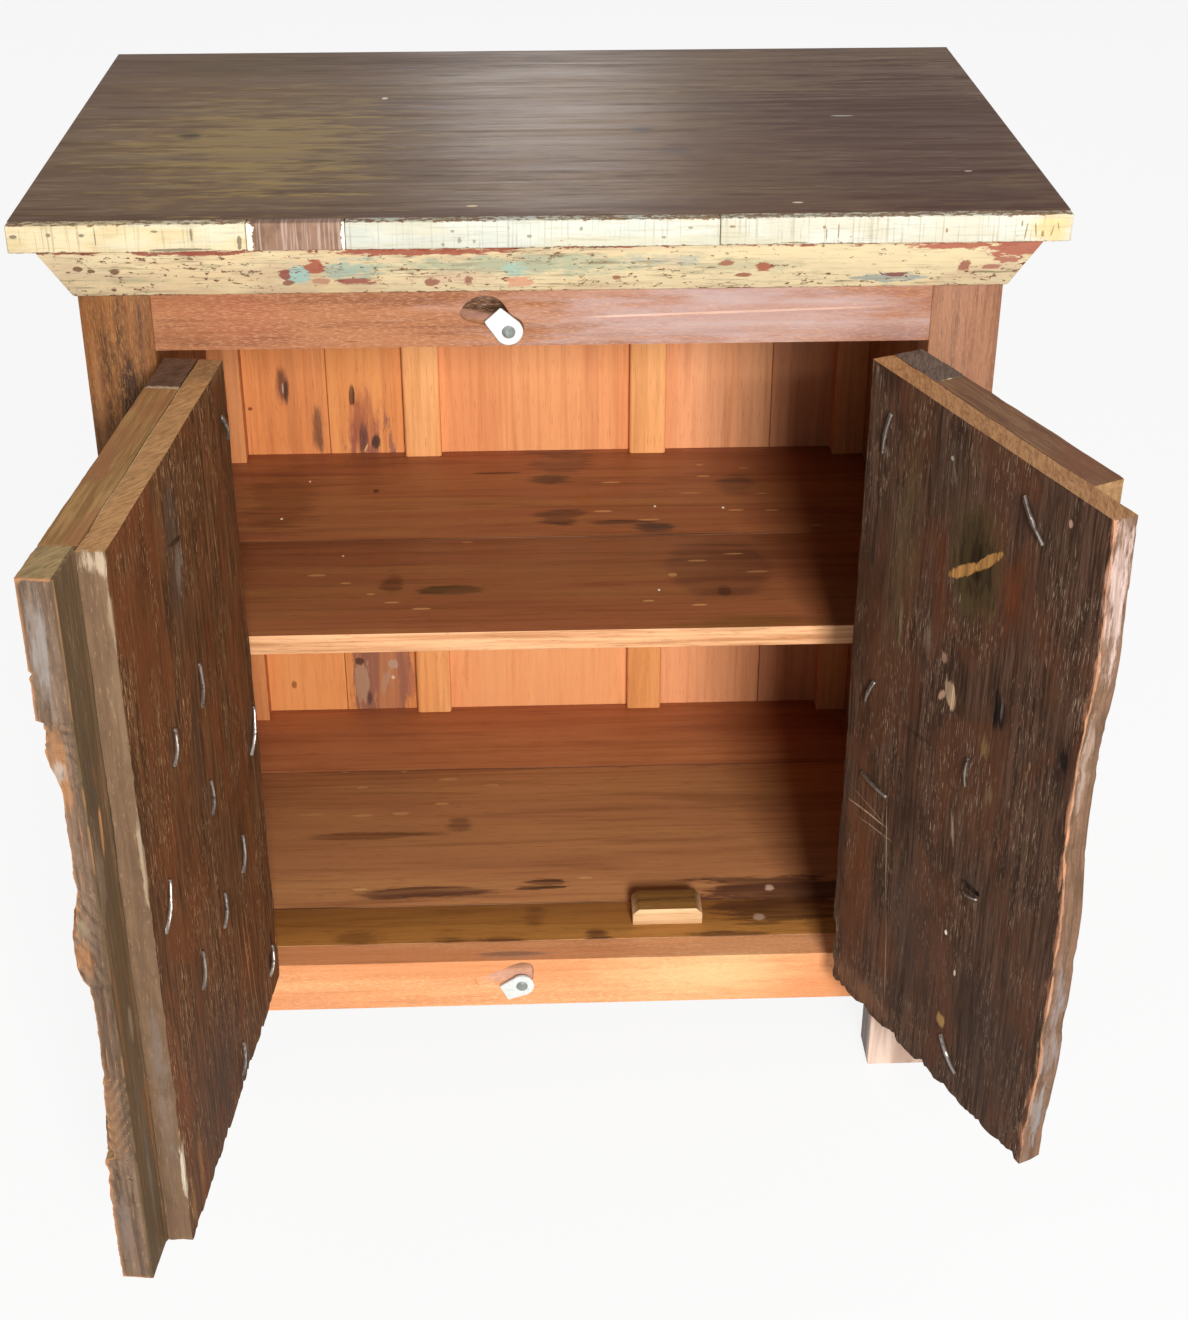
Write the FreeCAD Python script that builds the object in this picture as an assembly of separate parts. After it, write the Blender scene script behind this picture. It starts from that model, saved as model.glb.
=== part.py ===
import FreeCAD, Part
import math
import os

from FreeCAD import Vector

# Two-door cabinet in reclaimed hardwood, with a pair of old carved shutters as its doors.
# Millimetres, +Z up, the front faces -Y. The origin is on the floor under the carcase's middle.
# Everything is laid out with y = 0 at the front of the legs, and moved back when it is written.

# Carcase
carcase_width = 800.0
carcase_depth = 515.0
floor_gap = 94.0
sill_height = 59.0
opening_height = 684.0
head_height = 52.0
leg_width = 61.0
leg_depth = 45.0
front_rail_thickness = 32.0
rear_rail_thickness = 22.0
rear_head_height = 89.0
side_rail_thickness = 32.0
side_sill_thickness = 42.0
side_recess = 4.0
side_panel_thickness = 14.0
side_panel_recess = 12.0
groove_depth = 8.0
tenon_length = 25.0
tenon_share = 0.4
tenon_edge = 8.0

# Top and cornice
top_thickness = 24.0
top_overhang = 43.0
end_strip_width = 13.0
lipping_thickness = 12.0
lipping_joint_shares = (0.222, 0.314, 0.666)
cornice_height = 53.0
cornice_foot_projection = 3.0
cornice_top_projection = 28.0

# Back, shelf and floor
back_board_thickness = 15.0
back_board_recess = 8.0
back_board_lap = 12.0
back_joint_shares = (0.140, 0.2994, 0.683, 0.895)
board_gap = 0.6
batten_width = 42.0
batten_thickness = 12.0
batten_rounding = 4.0
floor_thickness = 22.0
floor_ledge = 14.0
floor_joint_shares = (0.135, 0.70)
shelf_height = 352.0
shelf_thickness = 21.0
shelf_setback = 73.0
shelf_joint_share = 0.477
bearer_width = 18.0
bearer_height = 25.0
stop_width = 74.0
stop_depth = 34.0
stop_height = 20.5
stop_chamfer = 7.0
stop_centre_share = 0.683

# Doors
door_head_gap = 2.0
door_foot_gap = 2.0
hinge_gap = 2.0
meeting_gap = 4.0
door_stop_gap = 0.3
front_layer = 30.0
back_layer = 23.0
left_door_share = 0.534
door_lap = 42.0
lap_clearance = 1.5
left_hinge_stile_width = 66.0
right_hinge_stile_width = 62.0
meeting_stile_width = 52.0
closing_stile_width = 34.0
right_top_drop = 12.0
right_foot_rise = 12.0
bottom_rail_height = 100.0
top_rail_height = 78.0
cross_rail_height = 50.0
lower_rail_share = 0.338
upper_rail_share = 0.684
panel_recess = 14.0
field_inset = 22.0
field_relief = 5.0
rosette_radius = 48.0
carving_relief = 12.0
left_rest_angle = 96.5
right_rest_angle = 115.0

# Carved meeting stile: height from its foot and depth of the cut, as shares of the stile's height
# and of the relief. A row of three is an arc's middle and end.
block_head_share = 0.826
neck_share = 0.815
neck_depth_share = 0.5
upper_bulb_shares = ((0.785, 0.12), (0.745, 1.0))
lower_bulb_top_share = 0.600
lower_bulb_shares = ((0.530, 0.05), (0.468, 1.0))
collar_top_share = 0.330
collar_foot_share = 0.212
collar_depth_share = 0.3
throat_share = 0.198
throat_depth_share = 0.85
foot_depth_share = 0.15

# Hinges
hinge_inset = 90.0
hinge_height = 76.0
leaf_width = 24.0
leaf_thickness = 2.0
knuckle_radius = 4.5
knuckle_share = 0.32
knuckle_gap = 0.3
leaf_relief = 0.4
pivot_forward = 8.0
pin_radius = 2.2
pin_clearance = 0.08
pin_cap_height = 2.5
hinge_screw_radius = 1.75
hinge_screw_head_radius = 3.6
hinge_screw_length = 18.0
hinge_screw_spacing = 25.0
hinge_screw_set = 12.0

# Nails, driven from the front and bent over on the back of the doors
nail_radius = 2.2
nail_head_radius = 7.0
nail_head_height = 2.5
clench_width = 5.0
clench_tip_width = 2.5
clench_thickness = 2.5

# Place of the bent end's middle across the back board and up the door, as shares of the board's
# width and of the door's height, with the bent end's turn from straight down and its length.
left_nail_shares = (
    (0.056, 0.916), (0.469, 0.663), (0.047, 0.460), (0.712, 0.654), (0.478, 0.499), (0.263, 0.326),
    (0.888, 0.493), (0.469, 0.315), (0.696, 0.312), (0.087, 0.065), (0.444, 0.040),
)
left_clench_turns = (8, 4, 6, 12, 2, 4, 24, 2, 2, 20, 6)
left_clench_lengths = (26.0, 40.0, 44.0, 34.0, 30.0, 36.0, 38.0, 30.0, 28.0, 24.0, 22.0)
right_nail_shares = (
    (0.115, 0.915), (0.795, 0.935), (0.115, 0.525), (0.170, 0.396), (0.647, 0.532), (0.679, 0.099),
    (0.692, 0.363),
)
right_clench_turns = (-14, 22, -24, 62, -6, 26, 84)
right_clench_lengths = (34.0, 44.0, 26.0, 30.0, 30.0, 36.0, 24.0)

# Turn buttons and the finger scoops cut beside them
button_radius = 12.5
button_reach = 21.0
button_end_width = 19.5
button_thickness = 3.5
button_clearance = 0.3
button_across_share = 0.454
top_button_height = 14.5
sill_button_height = 28.0
top_button_angle = 132.0
sill_button_angle = 206.0
button_screw_radius = 2.5
button_bore_clearance = 0.1
button_screw_length = 24.0
button_screw_head_radius = 6.0
button_screw_head_height = 2.6
scoop_size = 60.0
scoop_depth = 7.0
scoop_run_out = 0.6

# Scoop outlines, clockwise, as shares of the scoop's size from the button's screw
top_scoop_shares = (
    (-0.70, 0.29), (-0.56, 0.47), (-0.33, 0.545), (-0.09, 0.44), (0.05, 0.24), (0.17, 0.16), (0.22, -0.02),
    (0.02, -0.06), (-0.24, 0.06), (-0.48, 0.12),
)
sill_scoop_shares = (
    (-0.77, 0.17), (-0.48, 0.255), (-0.22, 0.39), (0.0, 0.47), (0.16, 0.43), (0.20, 0.20), (0.14, -0.06),
    (-0.20, -0.27), (-0.42, -0.28), (-0.68, -0.12),
)

# One overrun serves all cuts that pass right through.
overrun = 1.0

# Levels and places that follow from the sizes above
floor_level = floor_gap + sill_height
opening_top = floor_level + opening_height
cornice_foot = opening_top + head_height
top_underside = cornice_foot + cornice_height
cabinet_height = top_underside + top_thickness
half_width = carcase_width / 2
half_opening = half_width - leg_width
floor_underside = floor_level - floor_thickness
shelf_level = floor_level + shelf_height
shelf_underside = shelf_level - shelf_thickness
back_face = carcase_depth - back_board_recess - back_board_thickness
rear_leg_front = carcase_depth - leg_depth
panel_outside = half_width - side_panel_recess
panel_inside = panel_outside - side_panel_thickness
side_face = half_width - side_recess
rear_head_level = top_underside - rear_head_height
door_foot = floor_level + door_foot_gap
door_head = opening_top - door_head_gap
door_height = door_head - door_foot
door_thickness = front_layer + back_layer
door_edge = half_opening - hinge_gap
doors_width = 2 * door_edge - meeting_gap
left_back_width = doors_width * left_door_share
right_back_width = doors_width - left_back_width
left_front_width = left_back_width + door_lap
right_front_width = right_back_width - door_lap
pivot_across = half_opening - hinge_gap / 2
stop_front = door_thickness + door_stop_gap
button_across = (button_across_share - 1 / 2) * 2 * half_opening
top_button_level = opening_top + top_button_height
sill_button_level = floor_gap + sill_button_height


def block(x_ends, y_ends, z_ends):
    """Solid block between two places on each axis, given in either order."""
    lows = [min(ends) for ends in (x_ends, y_ends, z_ends)]
    sizes = [max(ends) - min(ends) for ends in (x_ends, y_ends, z_ends)]
    return Part.makeBox(*sizes, Vector(*lows))


def prism(points, along):
    """Straight-sided solid on a closed outline of points."""
    wire = Part.makePolygon([*points, points[0]])
    return Part.Face(wire).extrude(along)


def group(solids):
    """Separate solids that share one node."""
    return Part.makeCompound(solids)


def joined(solids):
    """One solid made of touching or overlapping ones."""
    whole = solids[0]
    for solid in solids[1:]:
        whole = whole.fuse(solid)
    return whole.removeSplitter()


def tenon_rail(x_ends, y_ends, z_ends, axis):
    """Rail between two posts along axis 0 or 1, with a centred tenon at each end."""
    ends = [list(x_ends), list(y_ends), list(z_ends)]
    rail = block(*ends)
    across = 1 - axis
    middle = sum(ends[across]) / 2
    half_tenon = (max(ends[across]) - min(ends[across])) * tenon_share / 2
    tongue = [list(pair) for pair in ends]
    tongue[axis] = [min(ends[axis]) - tenon_length, max(ends[axis]) + tenon_length]
    tongue[across] = [middle - half_tenon, middle + half_tenon]
    tongue[2] = [min(z_ends) + tenon_edge, max(z_ends) - tenon_edge]
    return joined([rail, block(*tongue)])


def front_head():
    """Rail over the doors, which also backs the cornice."""
    z_ends = (opening_top, top_underside)
    return tenon_rail((-half_opening, half_opening), (0, front_rail_thickness), z_ends, 0)


def front_sill():
    """Rail under the doors."""
    z_ends = (floor_gap, floor_level)
    return tenon_rail((-half_opening, half_opening), (0, front_rail_thickness), z_ends, 0)


def rear_rail(z_ends):
    """Rail that the back boards are nailed to."""
    y_ends = (back_face - rear_rail_thickness, back_face)
    return tenon_rail((-half_opening, half_opening), y_ends, z_ends, 0)


def side_rail(side, thickness, z_ends):
    """Rail between a front and a rear leg."""
    x_ends = (side * side_face, side * (side_face - thickness))
    return tenon_rail(x_ends, (leg_depth, rear_leg_front), z_ends, 1)


def side_panel(side):
    """Board held in grooves of the legs and side rails."""
    y_ends = (leg_depth - groove_depth, rear_leg_front + groove_depth)
    z_ends = (floor_level - groove_depth, opening_top + groove_depth)
    return block((side * panel_outside, side * panel_inside), y_ends, z_ends)


def leg(side, front, fitted):
    """Leg from the floor to the top board, cut for everything that is fitted into it."""
    y_ends = (0, leg_depth) if front else (rear_leg_front, carcase_depth)
    post = block((side * half_width, side * half_opening), y_ends, (0, top_underside))
    return post.cut(fitted)


def back_boards():
    """Upright boards of the back, lapped into the rear legs."""
    lap = half_opening + back_board_lap
    joints = [-half_opening + 2 * half_opening * share for share in back_joint_shares]
    edges = [-lap, *joints, lap]
    boards = []
    for number in range(len(edges) - 1):
        low = edges[number] + (board_gap / 2 if number else 0)
        high = edges[number + 1] - (board_gap / 2 if number + 2 < len(edges) else 0)
        y_ends = (back_face, back_face + back_board_thickness)
        boards.append(block((low, high), y_ends, (floor_gap, top_underside)))
    return boards


def batten(joint_share):
    """Upright strip that covers a joint of the back boards on the inside."""
    middle = -half_opening + 2 * half_opening * joint_share
    strip = block((middle - batten_width / 2, middle + batten_width / 2),
                  (back_face - batten_thickness, back_face), (floor_level, rear_head_level))
    front_edges = [edge for edge in strip.Edges
                   if edge.Length > batten_width and edge.CenterOfMass.y < back_face - batten_thickness / 2]
    return strip.makeFillet(batten_rounding, front_edges)


def boards_across(half_length, y_front, y_back, joint_shares, z_ends, around):
    """Boards that lie left to right, from front to back, cut round what stands in them."""
    edges = [y_front, *[y_front + (y_back - y_front) * share for share in joint_shares], y_back]
    boards = []
    for number in range(len(edges) - 1):
        near = edges[number] + (board_gap / 2 if number else 0)
        far = edges[number + 1] - (board_gap / 2 if number + 2 < len(edges) else 0)
        board = block((-half_length, half_length), (near, far), z_ends)
        boards.append(board.cut(around))
    return boards


def stop_block():
    """Block on the floor that the closed doors stop against."""
    middle = (stop_centre_share - 1 / 2) * 2 * half_opening
    low = middle - stop_width / 2
    high = middle + stop_width / 2
    top = floor_level + stop_height
    outline = [Vector(low, stop_front, floor_level), Vector(high, stop_front, floor_level),
               Vector(high, stop_front, top - stop_chamfer), Vector(high - stop_chamfer, stop_front, top),
               Vector(low + stop_chamfer, stop_front, top), Vector(low, stop_front, top - stop_chamfer)]
    return prism(outline, Vector(0, stop_depth, 0))


def top_pieces():
    """Top board, its end strips and the painted lipping along its front edge."""
    half_top = half_width + top_overhang
    z_ends = (top_underside, cabinet_height)
    behind_lipping = lipping_thickness - top_overhang
    pieces = {"top_board": block((end_strip_width - half_top, half_top - end_strip_width),
                                 (behind_lipping, carcase_depth), z_ends)}
    for side, name in ((-1, "left"), (1, "right")):
        x_ends = (side * (half_top - end_strip_width), side * half_top)
        pieces["top_end_strip_" + name] = block(x_ends, (behind_lipping, carcase_depth), z_ends)
    edges = [-half_top, *[2 * half_top * share - half_top for share in lipping_joint_shares], half_top]
    for number in range(len(edges) - 1):
        low = edges[number] + (board_gap / 2 if number else 0)
        high = edges[number + 1] - (board_gap / 2 if number + 2 < len(edges) else 0)
        pieces["lipping_%d" % (number + 1)] = block((low, high), (-top_overhang, behind_lipping), z_ends)
    return pieces


def cornice_pieces():
    """Sloped moulding under the top, mitred at the two front corners."""
    rings = []
    foot = (cornice_foot_projection, cornice_foot)
    head = (cornice_top_projection, top_underside)
    for projection, level in (foot, head):
        reach = half_width + projection
        corners = [Vector(-reach, -projection, level), Vector(reach, -projection, level),
                   Vector(reach, carcase_depth, level), Vector(-reach, carcase_depth, level)]
        rings.append(Part.makePolygon([*corners, corners[0]]))
    flare = Part.makeLoft(rings, True, True)
    carcase = block((-half_width, half_width), (0, carcase_depth + overrun), (0, cabinet_height))
    moulding = flare.cut(carcase)
    mitre = [Vector(-half_width, 0, cornice_foot), Vector(half_width, 0, cornice_foot),
             Vector(half_width + top_overhang, -top_overhang, cornice_foot),
             Vector(-half_width - top_overhang, -top_overhang, cornice_foot)]
    front_zone = prism(mitre, Vector(0, 0, cornice_height))
    sides = moulding.cut(front_zone)
    pieces = {"cornice_front": moulding.common(front_zone)}
    for side, name in ((-1, "left"), (1, "right")):
        zone = block((0, side * (half_width + top_overhang)), (-top_overhang, carcase_depth),
                     (cornice_foot, top_underside))
        pieces["cornice_" + name] = sides.common(zone)
    return pieces


def button_outline(level):
    """Turn button pointing right from its screw, at the front of its rail."""
    back = -button_clearance
    forward = Vector(0, -1, 0)
    along = Vector(0, -button_thickness, 0)
    round_end = Part.makeCylinder(button_radius, button_thickness, Vector(0, back, 0), forward)
    half_end = button_end_width / 2
    blade = [Vector(0, back, -button_radius), Vector(button_reach, back, -half_end),
             Vector(button_reach, back, half_end), Vector(0, back, button_radius)]
    bore = Part.makeCylinder(button_screw_radius + button_bore_clearance, button_thickness + 2 * overrun,
                             Vector(0, back + overrun, 0), forward)
    plate = joined([round_end, prism(blade, along)]).cut(bore)
    plate.translate(Vector(button_across, 0, level))
    return plate


def turn_button(level, angle):
    """Turn button at the angle that it rests at, counted up from pointing right."""
    plate = button_outline(level)
    plate.rotate(Vector(button_across, 0, level), Vector(0, -1, 0), angle)
    return plate


def button_screw(level):
    """Screw that a turn button turns on, fixed in the rail."""
    seat = Vector(button_across, -button_clearance - button_thickness - button_clearance, level)
    shank = Part.makeCylinder(button_screw_radius, button_screw_length, seat, Vector(0, 1, 0))
    head = Part.makeCone(button_screw_head_radius, button_screw_head_radius / 2,
                         button_screw_head_height, seat, Vector(0, -1, 0))
    return joined([shank, head])


def finger_scoop(level, shares):
    """Hollow beside a turn button, deep along its upper edge and running out below."""
    points = [Vector(button_across + across * scoop_size, -overrun, level + up * scoop_size)
              for across, up in shares]
    curve = Part.BSplineCurve()
    curve.interpolate(points, PeriodicFlag=True)
    face = Part.Face(Part.Wire([curve.toShape()]))
    well = face.extrude(Vector(0, scoop_depth + overrun, 0))
    start = button_across - scoop_size
    highest = level + max(up for across, up in shares) * scoop_size
    slope = [Vector(start, -overrun, highest + overrun),
             Vector(start, scoop_depth, highest + overrun),
             Vector(start, scoop_depth, highest - scoop_depth),
             Vector(start, -overrun, highest - scoop_size * scoop_run_out)]
    return well.common(prism(slope, Vector(2 * scoop_size, 0, 0)))


def across_door(side, near, far):
    """Places on x for two distances from a door's hinge edge, closed."""
    return side * (door_edge - near), side * (door_edge - far)


def rail_levels():
    """Lower and upper edge of the four rails of a door, from the foot up."""
    lower = door_foot + door_height * lower_rail_share
    upper = door_foot + door_height * upper_rail_share
    half_rail = cross_rail_height / 2
    return [(door_foot, door_foot + bottom_rail_height), (lower - half_rail, lower + half_rail),
            (upper - half_rail, upper + half_rail), (door_head - top_rail_height, door_head)]


def panel_levels():
    """Lower and upper edge of the three panels of a door, between its rails."""
    rails = rail_levels()
    return [(rails[number][1], rails[number + 1][0]) for number in range(len(rails) - 1)]


def door_rails(side, near, far):
    """Front rails of a door between two distances from its hinge edge."""
    return [block(across_door(side, near, far), (0, front_layer), levels) for levels in rail_levels()]


def door_panels(side, near, far):
    """Panels of a door: raised fields above and below, and a round boss in the middle one."""
    panels = []
    middle = (near + far) / 2
    for number, (low, high) in enumerate(panel_levels()):
        board = block(across_door(side, near, far), (panel_recess, front_layer), (low, high))
        if number == 1:
            place = Vector(side * (door_edge - middle), panel_recess - field_relief,
                           (low + high) / 2)
            raised = Part.makeCylinder(rosette_radius, field_relief, place, Vector(0, 1, 0))
        else:
            raised = block(across_door(side, near + field_inset, far - field_inset),
                           (panel_recess - field_relief, panel_recess),
                           (low + field_inset, high - field_inset))
        panels.append(joined([board, raised]))
    return panels


def carved_point(height_share, depth_share):
    """Point of the meeting stile's front, closed, on the plane of its hinge side."""
    start = -door_edge + left_front_width - meeting_stile_width
    return Vector(start, carving_relief * depth_share, door_foot + door_height * height_share)


def carved_meeting_stile():
    """Carved strip that covers the gap between the closed doors."""
    block_foot = carved_point(block_head_share, 0)
    neck_in = carved_point(block_head_share, neck_depth_share)
    neck_out = carved_point(neck_share, neck_depth_share)
    upper_middle, upper_end = [carved_point(*shares) for shares in upper_bulb_shares]
    lower_start = carved_point(lower_bulb_top_share, 1)
    lower_middle, lower_end = [carved_point(*shares) for shares in lower_bulb_shares]
    foot_run = [lower_end, carved_point(collar_top_share, 1),
                carved_point(collar_foot_share, collar_depth_share),
                carved_point(collar_foot_share, throat_depth_share),
                carved_point(throat_share, throat_depth_share),
                carved_point(throat_share, foot_depth_share), carved_point(0, foot_depth_share)]
    foot_back = carved_point(0, 0)
    foot_back.y = front_layer
    head_back = carved_point(1, 0)
    head_back.y = front_layer
    foot_run += [foot_back, head_back, carved_point(1, 0)]
    runs = [[carved_point(1, 0), block_foot, neck_in, neck_out], [upper_end, lower_start], foot_run]
    edges = []
    for run in runs:
        edges += [Part.makeLine(run[number], run[number + 1]) for number in range(len(run) - 1)]
    edges.append(Part.Arc(neck_out, upper_middle, upper_end).toShape())
    edges.append(Part.Arc(lower_start, lower_middle, lower_end).toShape())
    wire = Part.Wire(Part.__sortEdges__(edges))
    strip = Part.Face(wire).extrude(Vector(meeting_stile_width, 0, 0))
    lap = block(across_door(-1, left_back_width, left_front_width + overrun),
                (front_layer - lap_clearance, front_layer + overrun),
                (door_foot - overrun, door_head + overrun))
    return strip.cut(lap)


def closing_stiles():
    """Upright strips at the free edge of the right door, between its rails."""
    x_ends = across_door(1, right_front_width - closing_stile_width, right_front_width)
    return [block(x_ends, (0, front_layer), levels) for levels in panel_levels()]


def hinge_levels():
    """Middle heights of the two hinges of a door."""
    return [door_foot + hinge_inset, door_head - hinge_inset]


def barrel(side, radius, low, high):
    """Upright cylinder on a door's pivot line."""
    return Part.makeCylinder(radius, high - low, Vector(side * pivot_across, -pivot_forward, low))


def leaf(side, level, near_x, far_x, outer):
    """One leaf of a hinge: the outer two knuckles, or the middle one."""
    low = level - hinge_height / 2
    high = level + hinge_height / 2
    low_joint = low + hinge_height * knuckle_share
    high_joint = high - hinge_height * knuckle_share
    half_gap = knuckle_gap / 2
    if outer:
        bands = [(low, low_joint - half_gap), (high_joint + half_gap, high)]
    else:
        bands = [(low_joint + half_gap, high_joint - half_gap)]
    clear_y = knuckle_radius + leaf_relief - pivot_forward
    solids = [block((near_x, far_x), (clear_y, leaf_width), (low, high))]
    for band in bands:
        solids.append(block((near_x, far_x), (-pivot_forward, clear_y + overrun), band))
        solids.append(barrel(side, knuckle_radius, *band))
    bore = barrel(side, pin_radius + pin_clearance, low - overrun, high + overrun)
    return joined(solids).cut(bore)


def frame_leaf(side, level):
    """Leaf let into the leg."""
    return leaf(side, level, side * half_opening, side * (half_opening + leaf_thickness), True)


def door_leaf(side, level):
    """Leaf let into the door's edge."""
    return leaf(side, level, side * door_edge, side * (door_edge - leaf_thickness), False)


def hinge_pin(side, level):
    """Pin with a cap at each end."""
    low = level - hinge_height / 2
    high = level + hinge_height / 2
    return joined([barrel(side, pin_radius, low, high),
                   barrel(side, knuckle_radius, high, high + pin_cap_height),
                   barrel(side, knuckle_radius, low - pin_cap_height, low)])


def hinge_screws(level, face, direction):
    """Three countersunk screws through a leaf, flush with its face."""
    screws = []
    for step in (-1, 0, 1):
        place = Vector(face, hinge_screw_set, level + step * hinge_screw_spacing)
        along = Vector(direction, 0, 0)
        head = Part.makeCone(hinge_screw_head_radius, hinge_screw_radius, leaf_thickness, place, along)
        shank = Part.makeCylinder(hinge_screw_radius, hinge_screw_length, place, along)
        screws.append(joined([head, shank]))
    return screws


def frame_screws(side):
    """Screws of a side's two hinges into the leg."""
    upper, lower = [hinge_screws(level, side * half_opening, side) for level in hinge_levels()]
    return upper + lower


def door_screws(side):
    """Screws of a side's two hinges into the door."""
    upper, lower = [hinge_screws(level, side * door_edge, -side) for level in hinge_levels()]
    return upper + lower


def nail(side, across, level, seat, turn, length):
    """Nail with its head on the front of a door and its end bent over on the back."""
    x_place = side * (door_edge - across)
    head = Part.makeCone(nail_head_radius / 2, nail_head_radius, nail_head_height,
                         Vector(x_place, seat - nail_head_height, level), Vector(0, 1, 0))
    shank = Part.makeCylinder(nail_radius, door_thickness - seat, Vector(x_place, seat, level),
                              Vector(0, 1, 0))
    root = clench_width / 2
    tip = clench_tip_width / 2
    outline = [Vector(x_place - root, door_thickness, level + root),
               Vector(x_place + root, door_thickness, level + root),
               Vector(x_place + tip, door_thickness, level - length),
               Vector(x_place - tip, door_thickness, level - length)]
    bent_end = prism(outline, Vector(0, clench_thickness, 0))
    bent_end.rotate(Vector(x_place, 0, level), Vector(0, 1, 0), turn)
    return joined([head, shank, bent_end])


def nail_seat(across, level, near, far):
    """Depth of the front surface where a nail's head sits, behind the door's face."""
    for number, (low, high) in enumerate(panel_levels()):
        if not (near < across < far and low < level < high):
            continue
        middle = (near + far) / 2
        from_boss = math.hypot(across - middle, level - (low + high) / 2)
        on_boss = number == 1 and from_boss < rosette_radius
        in_field = (near + field_inset < across < far - field_inset
                    and low + field_inset < level < high - field_inset)
        if on_boss or (number != 1 and in_field):
            return panel_recess - field_relief
        return panel_recess
    return 0


def door_nails(side, width, near, far, places):
    """All nails of a door, from their places, turns and lengths."""
    nails = []
    for (across_share, up_share), turn, length in places:
        lean = math.radians(turn)
        across = width * across_share - side * math.sin(lean) * length / 2
        level = door_foot + door_height * up_share + math.cos(lean) * length / 2
        nails.append(nail(side, across, level, nail_seat(across, level, near, far), turn, length))
    return nails


def right_door_blank():
    """Space that the right door's wood fills: its ends run out of square."""
    hinge_x, free_x = across_door(1, -overrun, right_back_width + overrun)
    outline = [Vector(hinge_x, -overrun, door_foot),
               Vector(free_x, -overrun, door_foot + right_foot_rise),
               Vector(free_x, -overrun, door_head - right_top_drop),
               Vector(hinge_x, -overrun, door_head)]
    return prism(outline, Vector(0, door_thickness + 2 * overrun, 0))


def fitted_door(side, wood, nails):
    """Wood and hardware of a door, each cut for what goes through it or is let into it."""
    screws = door_screws(side)
    leaves = [door_leaf(side, level) for level in hinge_levels()]
    holes = group([*screws, *leaves, *nails])
    fitted = {name: [solid.cut(holes) for solid in solids] for name, solids in wood.items()}
    drilled_leaves = [piece.cut(group(screws)) for piece in leaves]
    return {**fitted, "nails": nails, "hinge_leaves": drilled_leaves, "hinge_screws": screws}


def left_door():
    """Pieces of the left door, closed."""
    near = left_hinge_stile_width
    far = left_front_width - meeting_stile_width
    z_ends = (door_foot, door_head)
    wood = {
        "back_board": [block(across_door(-1, 0, left_back_width), (front_layer, door_thickness), z_ends)],
        "hinge_stile": [block(across_door(-1, 0, near), (0, front_layer), z_ends)],
        "rails": door_rails(-1, near, far),
        "panels": door_panels(-1, near, far),
        "meeting_stile": [carved_meeting_stile()],
    }
    nails = door_nails(-1, left_back_width, near, far,
                       zip(left_nail_shares, left_clench_turns, left_clench_lengths))
    return fitted_door(-1, wood, nails)


def right_door():
    """Pieces of the right door, closed. Its rails run on to the free edge."""
    near = right_hinge_stile_width
    far = right_front_width - closing_stile_width
    z_ends = (door_foot, door_head)
    wood = {
        "back_board": [block(across_door(1, 0, right_back_width), (front_layer, door_thickness), z_ends)],
        "hinge_stile": [block(across_door(1, 0, near), (0, front_layer), z_ends)],
        "rails": door_rails(1, near, right_front_width),
        "panels": door_panels(1, near, far),
        "closing_stiles": closing_stiles(),
    }
    blank = right_door_blank()
    wood = {name: [solid.common(blank) for solid in solids] for name, solids in wood.items()}
    nails = door_nails(1, right_back_width, near, far,
                       zip(right_nail_shares, right_clench_turns, right_clench_lengths))
    return fitted_door(1, wood, nails)


def at_rest(side, angle, solids):
    """Pieces of a door swung open to the angle that it rests at."""
    turned = []
    for solid in solids:
        copy = solid.copy()
        copy.rotate(Vector(side * pivot_across, -pivot_forward, 0), Vector(0, 0, 1), side * angle)
        turned.append(copy)
    return turned


def frame_pieces():
    """Rails and panels of the carcase, whole, and the boards of its back."""
    rails = {"front_head": front_head(), "front_sill": front_sill(),
             "rear_head": rear_rail((rear_head_level, top_underside)),
             "rear_sill": rear_rail((floor_gap, floor_underside))}
    panels = {}
    for side, name in ((-1, "left"), (1, "right")):
        head_ends = (opening_top, top_underside)
        sill_ends = (floor_gap, floor_level)
        rails["side_head_" + name] = side_rail(side, side_rail_thickness, head_ends)
        rails["side_sill_" + name] = side_rail(side, side_sill_thickness, sill_ends)
        panels["side_panel_" + name] = side_panel(side)
    boards = {"back_board_%d" % (number + 1): board for number, board in enumerate(back_boards())}
    return rails, panels, boards


def hinge_pieces():
    """Frame leaves, their screws and the pins of all four hinges."""
    screws = frame_screws(-1) + frame_screws(1)
    leaves = [frame_leaf(side, level) for side in (-1, 1) for level in hinge_levels()]
    pins = [hinge_pin(side, level) for side in (-1, 1) for level in hinge_levels()]
    return {"hinge_frame_leaves": [piece.cut(group(screws)) for piece in leaves],
            "hinge_frame_screws": screws, "hinge_pins": pins}


def shelf_bearers():
    """Strips on the side panels that the shelf lies on."""
    z_ends = (shelf_underside - bearer_height, shelf_underside)
    return [block((side * panel_inside, side * (panel_inside - bearer_width)),
                  (leg_depth, rear_leg_front), z_ends) for side in (-1, 1)]


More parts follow.
